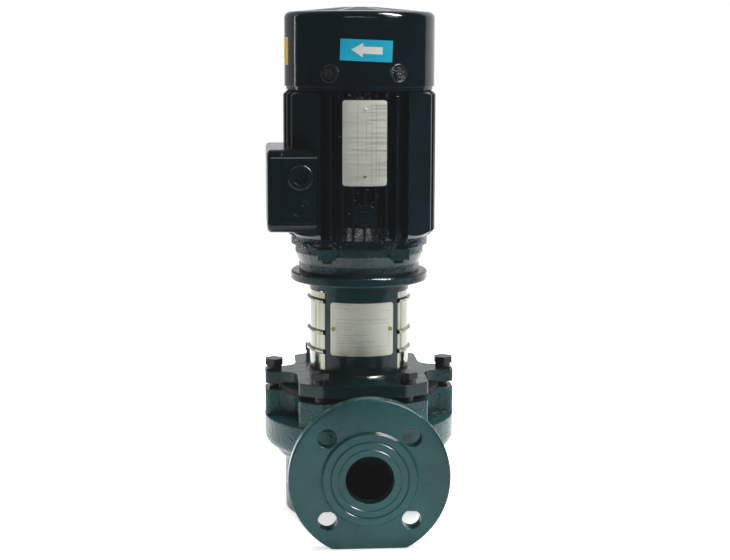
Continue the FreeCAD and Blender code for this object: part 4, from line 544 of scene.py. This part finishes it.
black_plastic = finish("black_plastic", (0.015, 0.015, 0.016), roughness=0.45)
dull(black_plastic, grain(black_plastic, 0.006), 0.38, 0.55)
relief(black_plastic, [(grain(black_plastic, 0.0006), 0.00003)], edge=0.0005)
coat_node(black_plastic, "fan")
coat_node(ground_steel, "fan_circlip")


# Fan cowl: pressed from thin steel sheet, with a grille in its top and four dimples for the screws
# that hold it to the upper shield. Sprayed glossy; in the dimples the paint lies grainy.

DIMPLE_HEIGHT, DIMPLE_SIDE = 0.434, 0.0324
DIMPLE_REACH, DIMPLE_FADE = 0.008, 0.001

cowl_enamel = green_enamel("cowl_enamel", MOTOR_GREEN, roughness=0.07)
across, along, upwards = axes(cowl_enamel)
sideways = worked(cowl_enamel, "SUBTRACT", worked(cowl_enamel, "ABSOLUTE", across), DIMPLE_SIDE)
from_dimple = distance(cowl_enamel, sideways, worked(cowl_enamel, "SUBTRACT", upwards, DIMPLE_HEIGHT))
in_dimple = fade(cowl_enamel, from_dimple, DIMPLE_REACH + DIMPLE_FADE, DIMPLE_REACH - DIMPLE_FADE)
relief(cowl_enamel, [rough_in(cowl_enamel, in_dimple, size=0.0011, depth=0.0010, detail=1.0),
                     (grain(cowl_enamel, 0.010), 0.00004),
                     (grain(cowl_enamel, 0.05), 0.0004)], edge=0.0008)
coat_node(cowl_enamel, "fan_cowl", "cowl_screws")


# Motor nameplate: the same brushed sheet, upright on the fins in front and held by two zinc rivets.
# Its printed rules stand upright too, because the plate is fixed on its side.

MOTOR_PLATE_FACE, MOTOR_PLATE_MIDDLE = 0.0749, 0.3691
MOTOR_RULES = [(-0.0070, -0.036, 0.036), (0.0012, -0.014, 0.026), (0.0062, -0.036, 0.036),
               (0.0106, -0.036, 0.036), (0.0135, -0.036, -0.012)]

coat_node(brushed, "motor_nameplate")
coat_node(zinc, "motor_nameplate_rivets")
wrapped("motor_plate_rules", [upright_rule(*rule) for rule in MOTOR_RULES], MOTOR_PLATE_FACE,
        MOTOR_PLATE_MIDDLE, INK_THICKNESS, plate_ink)


# Paint beads: drops of enamel that ran together and dried, four down the edge of the left corner
# panel and one on the terminal box.

BEAD_SIDES, BEAD_RINGS = 10, 3
BEAD_SINK, BEAD_RISE = 0.4, 0.8
PANEL_EDGE_X, PANEL_EDGE_Y, PANEL_EDGE_FACING = -0.0426, -0.0609, (-0.57, -0.82, 0)
PANEL_BEADS = [(0.3805, 0.0009), (0.3697, 0.0007), (0.3565, 0.0008), (0.3482, 0.0007)]
BOX_BEAD, BOX_BEAD_FACING, BOX_BEAD_SIZE = (-0.0580, -0.0607, 0.3090), (0, -1, 0), 0.0012


def bead(mesh, middle, facing, size):
    """A low dome of enamel, sunk a little into the wall that it dried on."""
    out = Vector(facing).normalized()
    one = out.cross(Vector((0, 0, 1))).normalized()
    two = out.cross(one)
    foot = Vector(middle) - out * size * BEAD_SINK
    rings = []
    for ring in range(BEAD_RINGS):
        lift = math.radians(90 * ring / BEAD_RINGS)
        level = foot + out * size * BEAD_RISE * math.sin(lift)
        spread = size * math.cos(lift)
        rings.append([mesh.verts.new(level + (one * math.cos(turn) + two * math.sin(turn)) * spread)
                      for turn in (math.tau * side / BEAD_SIDES for side in range(BEAD_SIDES))])
    tip = mesh.verts.new(foot + out * size * BEAD_RISE)
    for side in range(BEAD_SIDES):
        after = (side + 1) % BEAD_SIDES
        for low, high in zip(rings, rings[1:]):
            mesh.faces.new((low[side], low[after], high[after], high[side]))
        mesh.faces.new((rings[-1][side], rings[-1][after], tip))
    mesh.faces.new(rings[0])


beads = bmesh.new()
for height, size in PANEL_BEADS:
    bead(beads, (PANEL_EDGE_X, PANEL_EDGE_Y, height), PANEL_EDGE_FACING, size)
bead(beads, BOX_BEAD, BOX_BEAD_FACING, BOX_BEAD_SIZE)
paint_beads = housing_piece("paint_beads", beads, frame_enamel)
for face in paint_beads.data.polygons:
    face.use_smooth = len(face.vertices) < BEAD_SIDES


# Direction label: a blue vinyl sticker on the front of the cowl, stuck on by hand a little crooked.
# Its white arrow shows which way the shaft turns.

COWL_WALL = 0.0730
LABEL_TURN, LABEL_HEIGHT, LABEL_TILT = 1.3, 0.4550, 2.3
LABEL_HALF_WIDTH, LABEL_HALF_HEIGHT = 0.0250, 0.0100
VINYL_THICKNESS, PRINT_THICKNESS = 0.0001, 0.00005
ARROW_TIP, ARROW_NECK, ARROW_END = -0.0143, -0.0036, 0.0151
POINT, BARBS, STEM = (0.0002, 0.0004), (-0.0062, 0.0068), (-0.0030, 0.0036)

vinyl_blue = finish("blue_vinyl", (0.003, 0.53, 0.78), roughness=0.35, specular=0.15)
tint(vinyl_blue, grain(vinyl_blue, 0.02, detail=3.0),
     [(0.3, (0.002, 0.48, 0.71)), (0.7, (0.004, 0.58, 0.84))])
relief(vinyl_blue, [(grain(vinyl_blue, 0.004), 0.00003)])
wrapped("direction_label",
        [box_strip(-LABEL_HALF_WIDTH, LABEL_HALF_WIDTH, -LABEL_HALF_HEIGHT, LABEL_HALF_HEIGHT)],
        COWL_WALL, LABEL_HEIGHT, VINYL_THICKNESS, vinyl_blue, LABEL_TURN, LABEL_TILT)

vinyl_white = finish("white_vinyl", (0.90, 0.95, 0.89), roughness=0.4)
tint(vinyl_white, grain(vinyl_white, 0.01, detail=3.0),
     [(0.3, (0.86, 0.91, 0.85)), (0.7, (0.93, 0.97, 0.92))])
relief(vinyl_white, [(grain(vinyl_white, 0.004), 0.00003)])
arrow_head = [(ARROW_TIP, *POINT), (ARROW_NECK, *BARBS)]
arrow_stem = box_strip(ARROW_NECK, ARROW_END, *STEM)
wrapped("direction_arrow", [arrow_head, arrow_stem], COWL_WALL + VINYL_THICKNESS, LABEL_HEIGHT,
        PRINT_THICKNESS, vinyl_white, LABEL_TURN, LABEL_TILT)


# Side label: a plain yellow vinyl sticker, stuck straight on the left of the cowl.
# From the front it is seen edge-on.

SIDE_TURN, SIDE_HEIGHT = -92.0, 0.4540
SIDE_HALF_WIDTH, SIDE_HALF_HEIGHT = 0.0240, 0.0130

vinyl_yellow = finish("yellow_vinyl", (0.72, 0.42, 0.03), roughness=0.4)
tint(vinyl_yellow, grain(vinyl_yellow, 0.02, detail=3.0),
     [(0.3, (0.66, 0.38, 0.025)), (0.7, (0.78, 0.47, 0.04))])
wrapped("side_label", [box_strip(-SIDE_HALF_WIDTH, SIDE_HALF_WIDTH, -SIDE_HALF_HEIGHT, SIDE_HALF_HEIGHT)],
        COWL_WALL, SIDE_HEIGHT, VINYL_THICKNESS, vinyl_yellow, SIDE_TURN)
